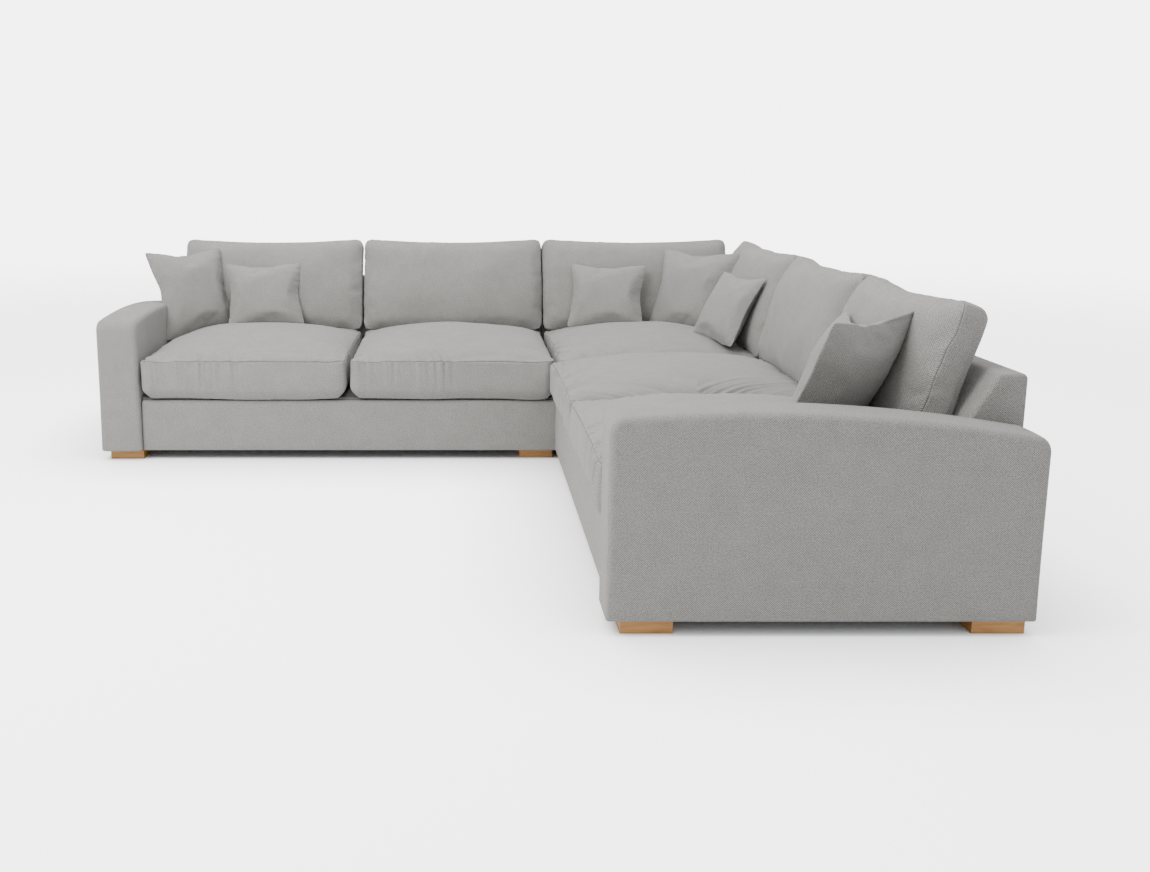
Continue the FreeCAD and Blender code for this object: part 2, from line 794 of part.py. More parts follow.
side = Vector(1, 0, 0)
unit_arm = soft_arm()
left_large = pressed(large_cushion(248, 681, 611, 47, 20),
                     [(seat_outer, upward), (back_outer, forward), (unit_arm, side + upward)])
left_small = pressed(small_cushion(560, 749, 594, 12, 24), [(seat_outer, upward), (back_outer, forward)])
right_large = pressed(large_cushion(335, 679, 610, 50, 26),
                      [(seat_outer, upward), (back_outer_right, forward), (unit_arm, side + upward)])
right_small = pressed(small_cushion(676, 755, 597, 8, 24),
                      [(seat_outer, upward), (back_outer_right, forward)])
corner_small_left = pressed(small_cushion(2128, 748, 590, -12, 25),
                            [(seat_corner, upward), (back_corner, forward)])
corner_small_right = pressed(small_cushion(2030, 743, 600, -16, 28),
                             [(across_corner(seat_corner), upward), (back_corner_right, forward)])
corner_large = pressed(large_cushion(2504, 686, 609, -45, 20),
                       [(seat_corner, upward), (back_corner, forward),
                        (across_corner(back_corner_right), -side)])

keep("left_scatter_cushion_large", centred(left_large))
keep("left_scatter_cushion_small", centred(left_small))
keep("right_scatter_cushion_large", mirrored(right_large))
keep("right_scatter_cushion_small", mirrored(right_small))
keep("corner_scatter_cushion_large", centred(corner_large))
keep("corner_scatter_cushion_left", centred(corner_small_left))
keep("corner_scatter_cushion_right", mirrored(corner_small_right))


os.makedirs("parts", exist_ok=True)
for name, shape in nodes.items():
    shape.exportStep("parts/" + name + ".step")
    print(name, len(shape.Solids), "solids", round(shape.Volume / 1e6, 2), "litres", shape.isValid())
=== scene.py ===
import json
import math
import time

import bmesh
import bpy
import numpy as np
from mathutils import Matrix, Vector, noise
from mathutils.bvhtree import BVHTree
from mathutils.kdtree import KDTree


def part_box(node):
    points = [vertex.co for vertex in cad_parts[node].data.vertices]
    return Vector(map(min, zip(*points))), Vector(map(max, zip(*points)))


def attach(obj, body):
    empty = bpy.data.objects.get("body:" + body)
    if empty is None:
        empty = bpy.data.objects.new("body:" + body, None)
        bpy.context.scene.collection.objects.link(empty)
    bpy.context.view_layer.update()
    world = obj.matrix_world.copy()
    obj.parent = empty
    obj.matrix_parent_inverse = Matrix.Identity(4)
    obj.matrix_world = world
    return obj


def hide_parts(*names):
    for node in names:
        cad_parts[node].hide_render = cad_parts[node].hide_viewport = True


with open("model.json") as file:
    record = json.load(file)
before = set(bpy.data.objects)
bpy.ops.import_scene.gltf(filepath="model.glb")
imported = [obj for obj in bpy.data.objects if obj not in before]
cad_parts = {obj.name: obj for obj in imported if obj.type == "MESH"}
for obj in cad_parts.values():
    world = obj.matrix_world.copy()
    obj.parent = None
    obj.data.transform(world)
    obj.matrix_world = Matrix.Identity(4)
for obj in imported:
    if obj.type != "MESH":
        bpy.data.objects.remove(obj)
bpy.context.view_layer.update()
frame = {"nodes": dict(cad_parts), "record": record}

# Corner sofa. Each piece is worked out in the coordinates of its run, in metres: along it from the outer
# face of its arm, back from the front of its arm, and up. The right run is the left one with X and Y swapped.

started = time.time()
scene = bpy.context.scene

plan = {"runLength": 2.921, "depth": 1.102, "armThickness": 0.162, "unitEnd": 1.842,
        "padDown": 0.038, "backFront": 0.880}
cornerShift = plan["runLength"] - plan["depth"]      # along = depth + this on the mitre


def report(stage):
    print("sofa: %s, %.0f s" % (stage, time.time() - started), flush=True)


# Places and meshes

def toRoom(points, run):
    points = np.asarray(points, float)
    half = plan["runLength"] / 2
    x = points[..., 0] - half
    y = points[..., 1] + half - plan["depth"]
    if run == "right":
        x, y = y, x
    return np.stack([x, y, points[..., 2]], axis=-1)


def runBox(node, run):
    # lowest and highest corner of a CAD node in run coordinates
    low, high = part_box(node)
    half = plan["runLength"] / 2
    shift = np.array([half, plan["depth"] - half, 0.0])
    if run == "right":
        low, high = (low[1], low[0], low[2]), (high[1], high[0], high[2])
    return np.array(low) + shift, np.array(high) + shift


def makeObject(name, points, faces, corners, finish):
    # corners holds the cloth position of each face corner, in metres on the flat cloth
    mesh = bpy.data.meshes.new(name)
    mesh.from_pydata([tuple(p) for p in points], [], faces)
    cloth = mesh.uv_layers.new(name="cloth")
    flat = np.array([c for face in corners for c in face], np.float32)
    cloth.data.foreach_set("uv", flat.ravel())
    mesh.polygons.foreach_set("use_smooth", np.ones(len(faces), bool))
    mesh.materials.append(finish)
    mesh.update()
    piece = bpy.data.objects.new(name, mesh)
    scene.collection.objects.link(piece)
    return piece


def vectorsOf(items, field):
    flat = np.zeros(len(items) * 3, np.float32)
    items.foreach_get(field, flat)
    return flat.reshape(-1, 3).astype(float)


def pointsOf(piece):
    return vectorsOf(piece.data.vertices, "co")


def setPoints(piece, points):
    piece.data.vertices.foreach_set("co", np.asarray(points, np.float32).ravel())
    piece.data.update()


def weightsOf(piece, groupName):
    index = piece.vertex_groups[groupName].index
    weights = np.zeros(len(piece.data.vertices))
    for vertex in piece.data.vertices:
        for entry in vertex.groups:
            if entry.group == index:
                weights[vertex.index] = entry.weight
    return weights


def subdivide(piece, levels):
    smoothing = piece.modifiers.new("finer", "SUBSURF")
    smoothing.levels = levels
    smoothing.render_levels = levels
    smoothing.uv_smooth = "NONE"
    applyModifiers(piece)


def applyModifiers(piece):
    depsgraph = bpy.context.evaluated_depsgraph_get()
    shaped = bpy.data.meshes.new_from_object(piece.evaluated_get(depsgraph), preserve_all_data_layers=True,
                                             depsgraph=depsgraph)
    old = piece.data
    piece.modifiers.clear()
    piece.data = shaped
    bpy.data.meshes.remove(old)


def settleIn(piece, body, nodes):
    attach(piece, body)
    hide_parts(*nodes)


def faceOut(piece):
    # every face of a closed piece turned outwards
    shape = bmesh.new()
    shape.from_mesh(piece.data)
    bmesh.ops.recalc_face_normals(shape, faces=shape.faces)
    shape.to_mesh(piece.data)
    shape.free()
    piece.data.update()


# Finishes

def newGroup(name, inputs, outputs):
    # each socket is given as its name and its kind
    group = bpy.data.node_groups.new(name, "ShaderNodeTree")
    for direction, sockets in (("INPUT", inputs), ("OUTPUT", outputs)):
        for socketName, kind in sockets:
            group.interface.new_socket(name=socketName, in_out=direction, socket_type="NodeSocket" + kind)
    return group, group.nodes.new("NodeGroupInput").outputs, group.nodes.new("NodeGroupOutput").inputs


def feed(tree, value, socket):
    # an output is linked to the socket, and anything else is set on it
    if hasattr(value, "links"):
        tree.links.new(value, socket)
    else:
        socket.default_value = value


def newNode(tree, kind, values=None):
    node = tree.nodes.new("ShaderNode" + kind)
    for name, value in (values or {}).items():
        feed(tree, value, node.inputs[name])
    return node


def mathNode(tree, operation, first, second=None, clamp=False):
    node = newNode(tree, "Math")
    node.operation = operation
    node.use_clamp = clamp
    feed(tree, first, node.inputs[0])
    if second is not None:
        feed(tree, second, node.inputs[1])
    return node.outputs[0]


def timesPlus(tree, value, factor, rest):
    return mathNode(tree, "ADD", mathNode(tree, "MULTIPLY", value, factor), rest)


def offMiddle(tree, value, factor):
    # how far a value between 0 and 1 lies off its middle
    return mathNode(tree, "MULTIPLY", mathNode(tree, "SUBTRACT", value, 0.5), factor)


def mixColor(tree, amount, first, second):
    node = newNode(tree, "Mix")
    node.data_type = "RGBA"
    for number, value in ((0, amount), (6, first), (7, second)):
        feed(tree, value, node.inputs[number])
    return node.outputs[2]


def noiseNode(tree, place, scale, detail):
    return newNode(tree, "TexNoise", {"Vector": place, "Scale": scale, "Detail": detail})


def raiseSurface(tree, shader, height, strength, distance):
    bump = newNode(tree, "Bump", {"Strength": strength, "Distance": distance, "Height": height})
    tree.links.new(bump.outputs[0], shader.inputs["Normal"])


weaveShape = {"yarnScale": 260.0, "yarnDetail": 2.0, "unevenness": 1.5, "crossing": 0.5,
              "driftScale": 14.0, "driftDetail": 7.0, "driftRoughness": 0.86,
              "roughness": 0.95, "raisedRoughness": -0.08}


def weaveGroup():
    # Basket weave with uneven yarns, and shading that drifts from broad patches down to a fine melange
    group, given, result = newGroup(
        "basketWeave",
        (("Cloth Position", "Vector"), ("Object Position", "Vector"), ("Yarns per Metre", "Float"),
         ("Light Yarn", "Color"), ("Dark Yarn", "Color"), ("Yarn Contrast", "Float"),
         ("Shade Drift", "Float")),
        (("Color", "Color"), ("Height", "Float"), ("Roughness", "Float")))
    apart = newNode(group, "SeparateXYZ", {"Vector": given["Cloth Position"]})
    turn = mathNode(group, "MULTIPLY", given["Yarns per Metre"], math.pi)
    acrossWave = mathNode(group, "SINE", mathNode(group, "MULTIPLY", apart.outputs[0], turn))
    alongWave = mathNode(group, "SINE", mathNode(group, "MULTIPLY", apart.outputs[1], turn))
    crossing = mathNode(group, "MULTIPLY", acrossWave, alongWave)
    yarn = noiseNode(group, given["Cloth Position"], weaveShape["yarnScale"],
                     weaveShape["yarnDetail"])
    uneven = offMiddle(group, yarn.outputs["Fac"], weaveShape["unevenness"])
    mixed = timesPlus(group, crossing, weaveShape["crossing"], uneven)
    raised = mathNode(group, "ADD", mixed, 0.5, clamp=True)
    drift = noiseNode(group, given["Object Position"], weaveShape["driftScale"],
                      weaveShape["driftDetail"])
    drift.inputs["Roughness"].default_value = weaveShape["driftRoughness"]
    shift = offMiddle(group, drift.outputs["Fac"], given["Shade Drift"])
    spread = offMiddle(group, raised, given["Yarn Contrast"])
    amount = mathNode(group, "ADD", mathNode(group, "ADD", spread, 0.5), shift, clamp=True)
    color = mixColor(group, amount, given["Dark Yarn"], given["Light Yarn"])
    roughness = timesPlus(group, raised, weaveShape["raisedRoughness"], weaveShape["roughness"])
    for name, value in (("Color", color), ("Height", raised), ("Roughness", roughness)):
        group.links.new(value, result[name])
    return group


speckleShape = {"detail": 4.0, "roughnessRise": 0.15, "relief": 0.3, "reliefHeight": 0.0008}


def speckleGroup():
    # fine spots of two colours
    group, given, result = newGroup(
        "fineSpeckle",
        (("Object Position", "Vector"), ("Stretch", "Vector"), ("Spot Scale", "Float"), ("Dark", "Color"),
         ("Light", "Color"), ("Least Roughness", "Float")),
        (("Color", "Color"), ("Height", "Float"), ("Roughness", "Float")))
    stretch = newNode(group, "Mapping", {"Vector": given["Object Position"], "Scale": given["Stretch"]})
    spots = noiseNode(group, stretch.outputs[0], given["Spot Scale"], speckleShape["detail"])
    color = mixColor(group, spots.outputs["Fac"], given["Dark"], given["Light"])
    roughness = timesPlus(group, spots.outputs["Fac"], speckleShape["roughnessRise"],
                          given["Least Roughness"])
    for name, value in (("Color", color), ("Height", spots.outputs["Fac"]), ("Roughness", roughness)):
        group.links.new(value, result[name])
    return group


def newFinish(name):
    finish = bpy.data.materials.new(name)
    finish.use_nodes = True
    tree = finish.node_tree
    shader = tree.nodes["Principled BSDF"]
    return finish, tree, shader


def dressWith(group, tree, shader, values, relief, reliefHeight):
    # a group's colour, roughness and height on the material's own shader
    node = newNode(tree, "Group")
    node.node_tree = group      # its inputs are there only now
    for name, value in values.items():
        feed(tree, value, node.inputs[name])
    tree.links.new(node.outputs["Color"], shader.inputs["Base Color"])
    tree.links.new(node.outputs["Roughness"], shader.inputs["Roughness"])
    raiseSurface(tree, shader, node.outputs["Height"], relief, reliefHeight)


def clothFinish(name, look):
    finish, tree, shader = newFinish(name)
    cloth = newNode(tree, "UVMap")
    cloth.uv_map = "cloth"
    place = newNode(tree, "TexCoord")
    values = {"Cloth Position": cloth.outputs[0], "Object Position": place.outputs["Object"],
              "Yarns per Metre": look["yarnsPerMetre"], "Light Yarn": (*look["lightYarn"], 1.0),
              "Dark Yarn": (*look["darkYarn"], 1.0), "Yarn Contrast": look["contrast"],
              "Shade Drift": look["drift"]}
    dressWith(basketWeave, tree, shader, values, look["relief"], look["reliefHeight"])
    shader.inputs["Sheen Weight"].default_value = look["sheen"]
    shader.inputs["Sheen Roughness"].default_value = look["sheenRoughness"]
    shader.inputs["Specular IOR Level"].default_value = look["specular"]
    return finish


def oakFinish(look):
    finish, tree, shader = newFinish("oiledOak")
    place = newNode(tree, "TexCoord")
    stretch = newNode(tree, "Mapping", {"Vector": place.outputs["Object"], "Scale": look["stretch"]})
    growth = noiseNode(tree, stretch.outputs[0], look["grainScale"], look["grainDetail"])
    growth.inputs["Distortion"].default_value = look["grainBend"]
    pores = noiseNode(tree, stretch.outputs[0], look["poreScale"], look["poreDetail"])
    tone = newNode(tree, "ValToRGB")
    for end, shade in enumerate(("dark", "light")):
        tone.color_ramp.elements[end].position = look["tonePlaces"][end]
        tone.color_ramp.elements[end].color = (*look[shade], 1.0)
    blended = timesPlus(tree, growth.outputs["Fac"], look["grainShare"],
                        mathNode(tree, "MULTIPLY", pores.outputs["Fac"], 1 - look["grainShare"]))
    tree.links.new(blended, tone.inputs["Fac"])
    tree.links.new(tone.outputs["Color"], shader.inputs["Base Color"])
    feed(tree, timesPlus(tree, pores.outputs["Fac"], look["poreRoughness"], look["roughness"]),
         shader.inputs["Roughness"])
    raiseSurface(tree, shader, blended, look["relief"], look["reliefHeight"])
    return finish


def speckledFinish(name, look):
    # for what lies inside the sofa: timber, steel, webbing, felt
    finish, tree, shader = newFinish(name)
    place = newNode(tree, "TexCoord")
    values = {"Object Position": place.outputs["Object"], "Stretch": look.get("stretch", (1.0, 1.0, 1.0)),
              "Spot Scale": look["scale"], "Dark": (*look["dark"], 1.0), "Light": (*look["light"], 1.0),
              "Least Roughness": look["roughness"]}
    dressWith(fineSpeckle, tree, shader, values, speckleShape["relief"], speckleShape["reliefHeight"])
    shader.inputs["Metallic"].default_value = look.get("metal", 0.0)
    return finish


# The cover cloth is the cushion cloth with slightly darker yarns and more contrast; the darker yarns are
# painted shade on the arms, backs and borders.
shadedCoverLook = {"yarnsPerMetre": 330.0, "lightYarn": (0.268, 0.262, 0.249), "darkYarn": (0.112, 0.109, 0.102),
             "contrast": 1.35, "drift": 0.75, "relief": 0.9, "reliefHeight": 0.0012, "sheen": 0.12,
             "sheenRoughness": 0.5, "specular": 0.15}
cushionLook = dict(shadedCoverLook, lightYarn=(0.272, 0.266, 0.253), darkYarn=(0.116, 0.113, 0.106),
                   contrast=1.20, relief=0.8)
oakLook = {"dark": (0.25, 0.105, 0.022), "light": (0.40, 0.200, 0.055), "tonePlaces": (0.32, 0.68),
           "stretch": (6.0, 40.0, 40.0), "grainScale": 1.6, "grainDetail": 6.0, "grainBend": 0.6,
           "grainShare": 0.75, "poreScale": 14.0, "poreDetail": 3.0, "poreRoughness": 0.2, "roughness": 0.38,
           "relief": 0.25, "reliefHeight": 0.0006}
innerLooks = {
    "frame_timber": {"dark": (0.42, 0.28, 0.14), "light": (0.62, 0.46, 0.27), "scale": 5.0, "roughness": 0.55,
                     "stretch": (4.0, 4.0, 30.0)},
    "steel": {"dark": (0.42, 0.42, 0.43), "light": (0.60, 0.60, 0.61), "scale": 300.0, "roughness": 0.30,
              "metal": 1.0},
    "clip_plastic": {"dark": (0.012, 0.012, 0.012), "light": (0.03, 0.03, 0.03), "scale": 400.0,
                     "roughness": 0.45},
    "webbing": {"dark": (0.02, 0.018, 0.016), "light": (0.06, 0.055, 0.05), "scale": 500.0,
                "roughness": 0.80},
    "dust_cloth": {"dark": (0.008, 0.008, 0.008), "light": (0.02, 0.02, 0.02), "scale": 700.0,
                   "roughness": 0.85},
    "deck_felt": {"dark": (0.16, 0.155, 0.145), "light": (0.26, 0.25, 0.24), "scale": 350.0,
                  "roughness": 0.85},
}
basketWeave = weaveGroup()
fineSpeckle = speckleGroup()
shadedCoverCloth = clothFinish("shadedCoverCloth", shadedCoverLook)
cushionCloth = clothFinish("cushionCloth", cushionLook)
oiledOak = oakFinish(oakLook)
innerFinishes = {name: speckledFinish(name, look) for name, look in innerLooks.items()}

slotOf = {part["node"]: part["material_slot"] for part in frame["record"]["subparts"]}
for nodeName, nodeObject in frame["nodes"].items():
    finish = innerFinishes.get(slotOf[nodeName], oiledOak if slotOf[nodeName] == "oak" else shadedCoverCloth)
    nodeObject.data.materials.clear()
    nodeObject.data.materials.append(finish)
report("finishes made")


# Fixed covers: arms, backs and front borders

def ringNormals(loop):
    # outward directions of a closed outline in depth and height, mitred at its corners
    before = loop - np.roll(loop, 1, axis=0)
    after = np.roll(loop, -1, axis=0) - loop
    before /= np.linalg.norm(before, axis=1)[:, None] + 1e-12
    after /= np.linalg.norm(after, axis=1)[:, None] + 1e-12
    tangent = before + after
    tangent /= np.linalg.norm(tangent, axis=1)[:, None] + 1e-12
    outward = np.stack([tangent[:, 1], -tangent[:, 0]], axis=1)
    middle = loop.mean(axis=0)
    if np.sum(outward * (loop - middle)) < 0:
        outward = -outward
    return outward


def lengthsAround(loop):
    # how far along a closed outline each of its points lies, and last its whole length
    steps = np.linalg.norm(np.roll(loop, -1, axis=0) - loop, axis=1)
    return np.concatenate([[0.0], np.cumsum(steps)])


capRings = (0.94, 0.86, 0.74, 0.58, 0.40, 0.20)      # rings of a closed end, as shares of its outline
lowerEdge = {"rollShare": 0.42, "over": 0.40}      # near the floor an end is folded rather than rolled


def sweepCover(name, loop, stations, run, finish, capPuff=(0.0, 0.0)):
    # A closed cover swept through its stations. Each is a place along the run or a function of the depth,
    # an inset and a length of cloth.
    low, high = loop.min(axis=0), loop.max(axis=0)
    least = lowerEdge["rollShare"]
    rollShare = np.clip(least + (loop[:, 1] - low[1]) / lowerEdge["over"], least, 1.0)
    outward = ringNormals(loop) * rollShare[:, None]
    around = lengthsAround(loop)
    count = len(loop)
    points, faces, corners = [], [], []

    def addRing(ring, along):
        base = len(points)
        places = along(ring[:, 0]) if callable(along) else np.full(count, along)
        points.extend(np.stack([places, ring[:, 0], ring[:, 1]], axis=1))
        return base

    def inset(station):
        return loop - outward * station[1]

    bases = [addRing(inset(station), station[0]) for station in stations]
    for number in range(len(stations) - 1):
        lower, upper = bases[number], bases[number + 1]
        lowCloth, highCloth = stations[number][2], stations[number + 1][2]
        for i in range(count):
            j = (i + 1) % count
            faces.append((lower + i, lower + j, upper + j, upper + i))
            corners.append(((around[i], lowCloth), (around[i + 1], lowCloth),
                            (around[i + 1], highCloth), (around[i], highCloth)))
    for station, base, puff in ((stations[0], bases[0], -capPuff[0]), (stations[-1], bases[-1], capPuff[1])):
        if callable(station[0]):
            continue
        ring = inset(station)
        middle = (ring.min(axis=0) + ring.max(axis=0)) / 2
        last = base
        lastRing = ring
        for share in capRings:
            smaller = middle + (ring - middle) * share
            nextBase = addRing(smaller, station[0])
            for i in range(count):
                j = (i + 1) % count
                faces.append((last + i, last + j, nextBase + j, nextBase + i))
                corners.append((tuple(lastRing[i]), tuple(lastRing[j]), tuple(smaller[j]), tuple(smaller[i])))
            last, lastRing = nextBase, smaller
        points.append(np.array([station[0], middle[0], middle[1]]))
        for i in range(count):
            j = (i + 1) % count
            faces.append((last + i, last + j, len(points) - 1))
            corners.append((tuple(lastRing[i]), tuple(lastRing[j]), tuple(middle)))
        for number in range(base + count, len(points)):
            share = (np.array(points[number][1:]) - middle) / (high - low) * 2
            points[number] = points[number] + np.array([puff * np.prod(1 - share ** 2), 0.0, 0.0])
    piece = makeObject(name, toRoom(np.array(points), run), faces, corners, finish)
    faceOut(piece)
    return piece


def spacedLoop(path, spacing):
    # a closed path with its corners kept and points added at an even spacing between them
    result = []
    for number, start in enumerate(path):
        end = path[(number + 1) % len(path)]
        reach = math.dist(start, end)
        steps = max(1, round(reach / spacing))
        for step in range(steps):
            share = step / steps
            result.append((start[0] + (end[0] - start[0]) * share, start[1] + (end[1] - start[1]) * share))
    return np.array(result)


def arcPoints(centre, radius, first, last, steps):
    return [(centre[0] + radius * math.cos(math.radians(first + (last - first) * n / steps)),
             centre[1] + radius * math.sin(math.radians(first + (last - first) * n / steps)))
            for n in range(steps + 1)]


def circleThrough(a, b, c):
    ax, ay, bx, by, cx, cy = *a, *b, *c
    aa, bb, cc = ax ** 2 + ay ** 2, bx ** 2 + by ** 2, cx ** 2 + cy ** 2
    d = 2 * (ax * (by - cy) + bx * (cy - ay) + cx * (ay - by))
    ux = (aa * (by - cy) + bb * (cy - ay) + cc * (ay - by)) / d
    uy = (aa * (cx - bx) + bb * (ax - cx) + cc * (bx - ax)) / d
    return (ux, uy), math.dist((ux, uy), a)


def rollSteps(roll, steps):
    # how far along and how far in the cover stands while it rolls over an end
    angles = [math.radians(90.0 * number / steps) for number in range(steps + 1)]
    return [(roll * (1 - math.cos(angle)), roll * (1 - math.sin(angle))) for angle in angles]


def rolledStations(start, end, roll, steps, spacing):
    # the cover rolls over from each end into its length
    stations = [(start + along, inset) for along, inset in rollSteps(roll, steps)]
    inner = max(1, round((end - start - 2 * roll) / spacing))
    for number in range(1, inner):
        stations.append((start + roll + (end - start - 2 * roll) * number / inner, 0.0))
    stations += [(end - along, inset) for along, inset in reversed(rollSteps(roll, steps))]
    result = []
    cloth = 0.0
    for number, (along, inset) in enumerate(stations):
        if number:
            cloth += math.dist(stations[number - 1], (along, inset))
        result.append((along, inset, cloth))
    return result


armShape = {"frontHeight": 0.572, "peakHeight": 0.584, "peakDepth": 0.400, "rearHeight": 0.524,
            "shoulder": 0.042, "roll": 0.020, "lowerFold": 0.009, "topCrown": 0.003, "crownFrom": 0.48,
            "crownOver": 0.04, "sidePuff": 0.007, "spacing": 0.016, "stationSpacing": 0.02}


def armLoop():
    depth, corner = plan["depth"], armShape["shoulder"]
    front = (corner, armShape["frontHeight"])
    rear = (depth - corner, armShape["rearHeight"])
    centre, radius = circleThrough(front, (armShape["peakDepth"], armShape["peakHeight"]), rear)
    fold = armShape["lowerFold"]
    path = arcPoints((fold, plan["padDown"] + fold), fold, 270, 180, 3)
    path += arcPoints((corner, front[1] - corner), corner, 180, 90, 8)
    for number in range(1, 40):
        at = front[0] + (rear[0] - front[0]) * number / 40
        path.append((at, centre[1] + math.sqrt(radius ** 2 - (at - centre[0]) ** 2)))
    path += arcPoints((rear[0], rear[1] - corner), corner, 90, 0, 8)
    path += arcPoints((depth - fold, plan["padDown"] + fold), fold, 0, -90, 3)
    return spacedLoop(path, armShape["spacing"])


def buildArm(run):
    thickness = plan["armThickness"]
    stations = rolledStations(0.0, thickness, armShape["roll"], 6, armShape["stationSpacing"])
    piece = sweepCover(run + "_arm_upholstery", armLoop(), stations, run, shadedCoverCloth,
                       (armShape["sidePuff"], 0.0))
    points = pointsOf(piece)
    along = points[:, 0] if run == "left" else points[:, 1]
    across = np.clip((along + plan["runLength"] / 2) / thickness, 0, 1)
    high = np.clip((points[:, 2] - armShape["crownFrom"]) / armShape["crownOver"], 0, 1)
    points[:, 2] += armShape["topCrown"] * high * (1 - (2 * across - 1) ** 2)
    setPoints(piece, points)
    settleIn(piece, "frame", [run + "_arm_cover"])
    return piece


backShape = {"top": 0.655, "topThickness": 0.074, "kneeHeight": 0.410, "edge": 0.016, "endRoll": 0.010,
             "rollSteps": 4, "spacing": 0.022, "stationSpacing": 0.06, "clothToMitre": 0.95}


def backLoop():
    depth, edge = plan["depth"], backShape["edge"]
    frontTop = depth - backShape["topThickness"]
    knee = (plan["backFront"], backShape["kneeHeight"])
    rake = math.atan2(frontTop - knee[0], backShape["top"] - knee[1])
    path = [(depth, plan["padDown"])]
    path += arcPoints((depth - edge, backShape["top"] - edge), edge, 0, 90, 5)
    turn = (math.pi / 2 - rake) / 2      # half of the turn at the top front edge
    setback = edge * math.tan(turn)
    path += arcPoints((frontTop + setback, backShape["top"] - edge), edge, 90, 90 + math.degrees(2 * turn), 5)
    path += [knee, (knee[0], plan["padDown"])]
    return spacedLoop(path, backShape["spacing"])


def buildUnitBack(run):
    stations = rolledStations(plan["armThickness"], plan["unitEnd"], backShape["endRoll"],
                              backShape["rollSteps"], backShape["stationSpacing"])
    piece = sweepCover(run + "_back_upholstery", backLoop(), stations, run, shadedCoverCloth)
    settleIn(piece, "frame", [run + "_back_cover"])
    return piece


def buildCornerBack():
    # one cover round the corner: along the left run to the mitre and out along the right run
    loop = backLoop()
    start, end = plan["unitEnd"], cornerShift
    roll, cloth = backShape["endRoll"], backShape["clothToMitre"]
    stations = [(start + along, inset, start + along)
                for along, inset in rollSteps(roll, backShape["rollSteps"])]
    for share in (0.15, 0.3, 0.45, 0.6, 0.75, 0.9):
        stations.append((lambda d, share=share: (start + roll) * (1 - share) + (d + end) * share, 0.0,
                         start + share * cloth))
    stations.append((lambda d: d + end, 0.0, start + cloth))
    left = sweepCover("corner_left", loop, stations, "left", shadedCoverCloth)
    right = sweepCover("corner_right", loop, stations, "right", shadedCoverCloth)
    joined = bmesh.new()
    joined.from_mesh(left.data)
    joined.from_mesh(right.data)
    bmesh.ops.remove_doubles(joined, verts=joined.verts, dist=0.0002)
    bmesh.ops.recalc_face_normals(joined, faces=joined.faces)
    mesh = bpy.data.meshes.new("corner_back_upholstery")
    joined.to_mesh(mesh)
    joined.free()
    mesh.materials.append(shadedCoverCloth)
    piece = bpy.data.objects.new("corner_back_upholstery", mesh)
    scene.collection.objects.link(piece)
    for half in (left, right):
        bpy.data.objects.remove(half)
    settleIn(piece, "frame", ["corner_back_cover_left", "corner_back_cover_right"])
    return piece


borderShape = {"front": 0.023, "rear": 0.053, "top": 0.246, "edge": 0.014, "besideArm": 0.001,
               "puff": 0.003, "puffFrom": 0.040, "puffOver": 0.017, "spacing": 0.014, "stationSpacing": 0.03}


def buildBorder(run):
    edge = borderShape["edge"]
    front, rear, top, low = borderShape["front"], borderShape["rear"], borderShape["top"], plan["padDown"]
    path = [(rear, low), (rear, top)]
    path += arcPoints((front + edge, top - edge), edge, 90, 180, 5)
    path += arcPoints((front + edge * 0.5, low + edge * 0.5), edge * 0.5, 180, 270, 3)
    start = plan["armThickness"] + borderShape["besideArm"]
    stations = rolledStations(start, plan["unitEnd"] + edge, edge, 5, borderShape["stationSpacing"])
    piece = sweepCover(run + "_front_upholstery", spacedLoop(path, borderShape["spacing"]), stations, run,
                       shadedCoverCloth)
    points = pointsOf(piece)
    away = 1 if run == "left" else 0
    depth = points[:, away] - (plan["runLength"] / 2 - plan["depth"])
    nearFront = np.clip((borderShape["puffFrom"] - depth) / borderShape["puffOver"], 0, 1)
    rise = np.clip((points[:, 2] - low) / (top - low), 0, 1)
    points[:, away] -= borderShape["puff"] * nearFront * np.sin(np.pi * rise)
    setPoints(piece, points)
    settleIn(piece, "frame", [run + "_front_border"])


arms = {run: buildArm(run) for run in ("left", "right")}
backCovers = {run: buildUnitBack(run) for run in ("left", "right")}
cornerBack = buildCornerBack()
for run in ("left", "right"):
    buildBorder(run)
report("arms, backs and borders upholstered")


# Cushions

def cellShares(count, narrow=0.3):
    # even cells, with a narrow one at each end so that the seam can be drawn in sharply
    steps = np.ones(count)
    steps[0] = steps[-1] = narrow
    return np.concatenate([[0.0], np.cumsum(steps)]) / steps.sum()


def sidePath(number, halfWide, halfTall, corner, drawn, count):
    # one side of a rounded oblong, from the middle of a corner to the middle of the next, counter-clockwise
    signs = [(-1, -1), (1, -1), (1, 1), (-1, 1)]
    first, second = signs[number], signs[(number + 1) % 4]
    startAngle = 225 + 90 * number
    centreA = (first[0] * (halfWide - corner), first[1] * (halfTall - corner))
    centreB = (second[0] * (halfWide - corner), second[1] * (halfTall - corner))
    fine = arcPoints(centreA, corner, startAngle, startAngle + 45, 8)
    fine += arcPoints(centreB, corner, startAngle + 45, startAngle + 90, 8)
    fine = np.array(fine)
    reach = np.concatenate([[0.0], np.cumsum(np.linalg.norm(np.diff(fine, axis=0), axis=1))])
    at = cellShares(count) * reach[-1]
    path = np.stack([np.interp(at, reach, fine[:, 0]), np.interp(at, reach, fine[:, 1])], axis=1)
    t = cellShares(count) * 2 - 1
    inward = [(0, 1), (-1, 0), (0, -1), (1, 0)][number]
    return path + np.outer(drawn * (1 - t ** 2), inward)


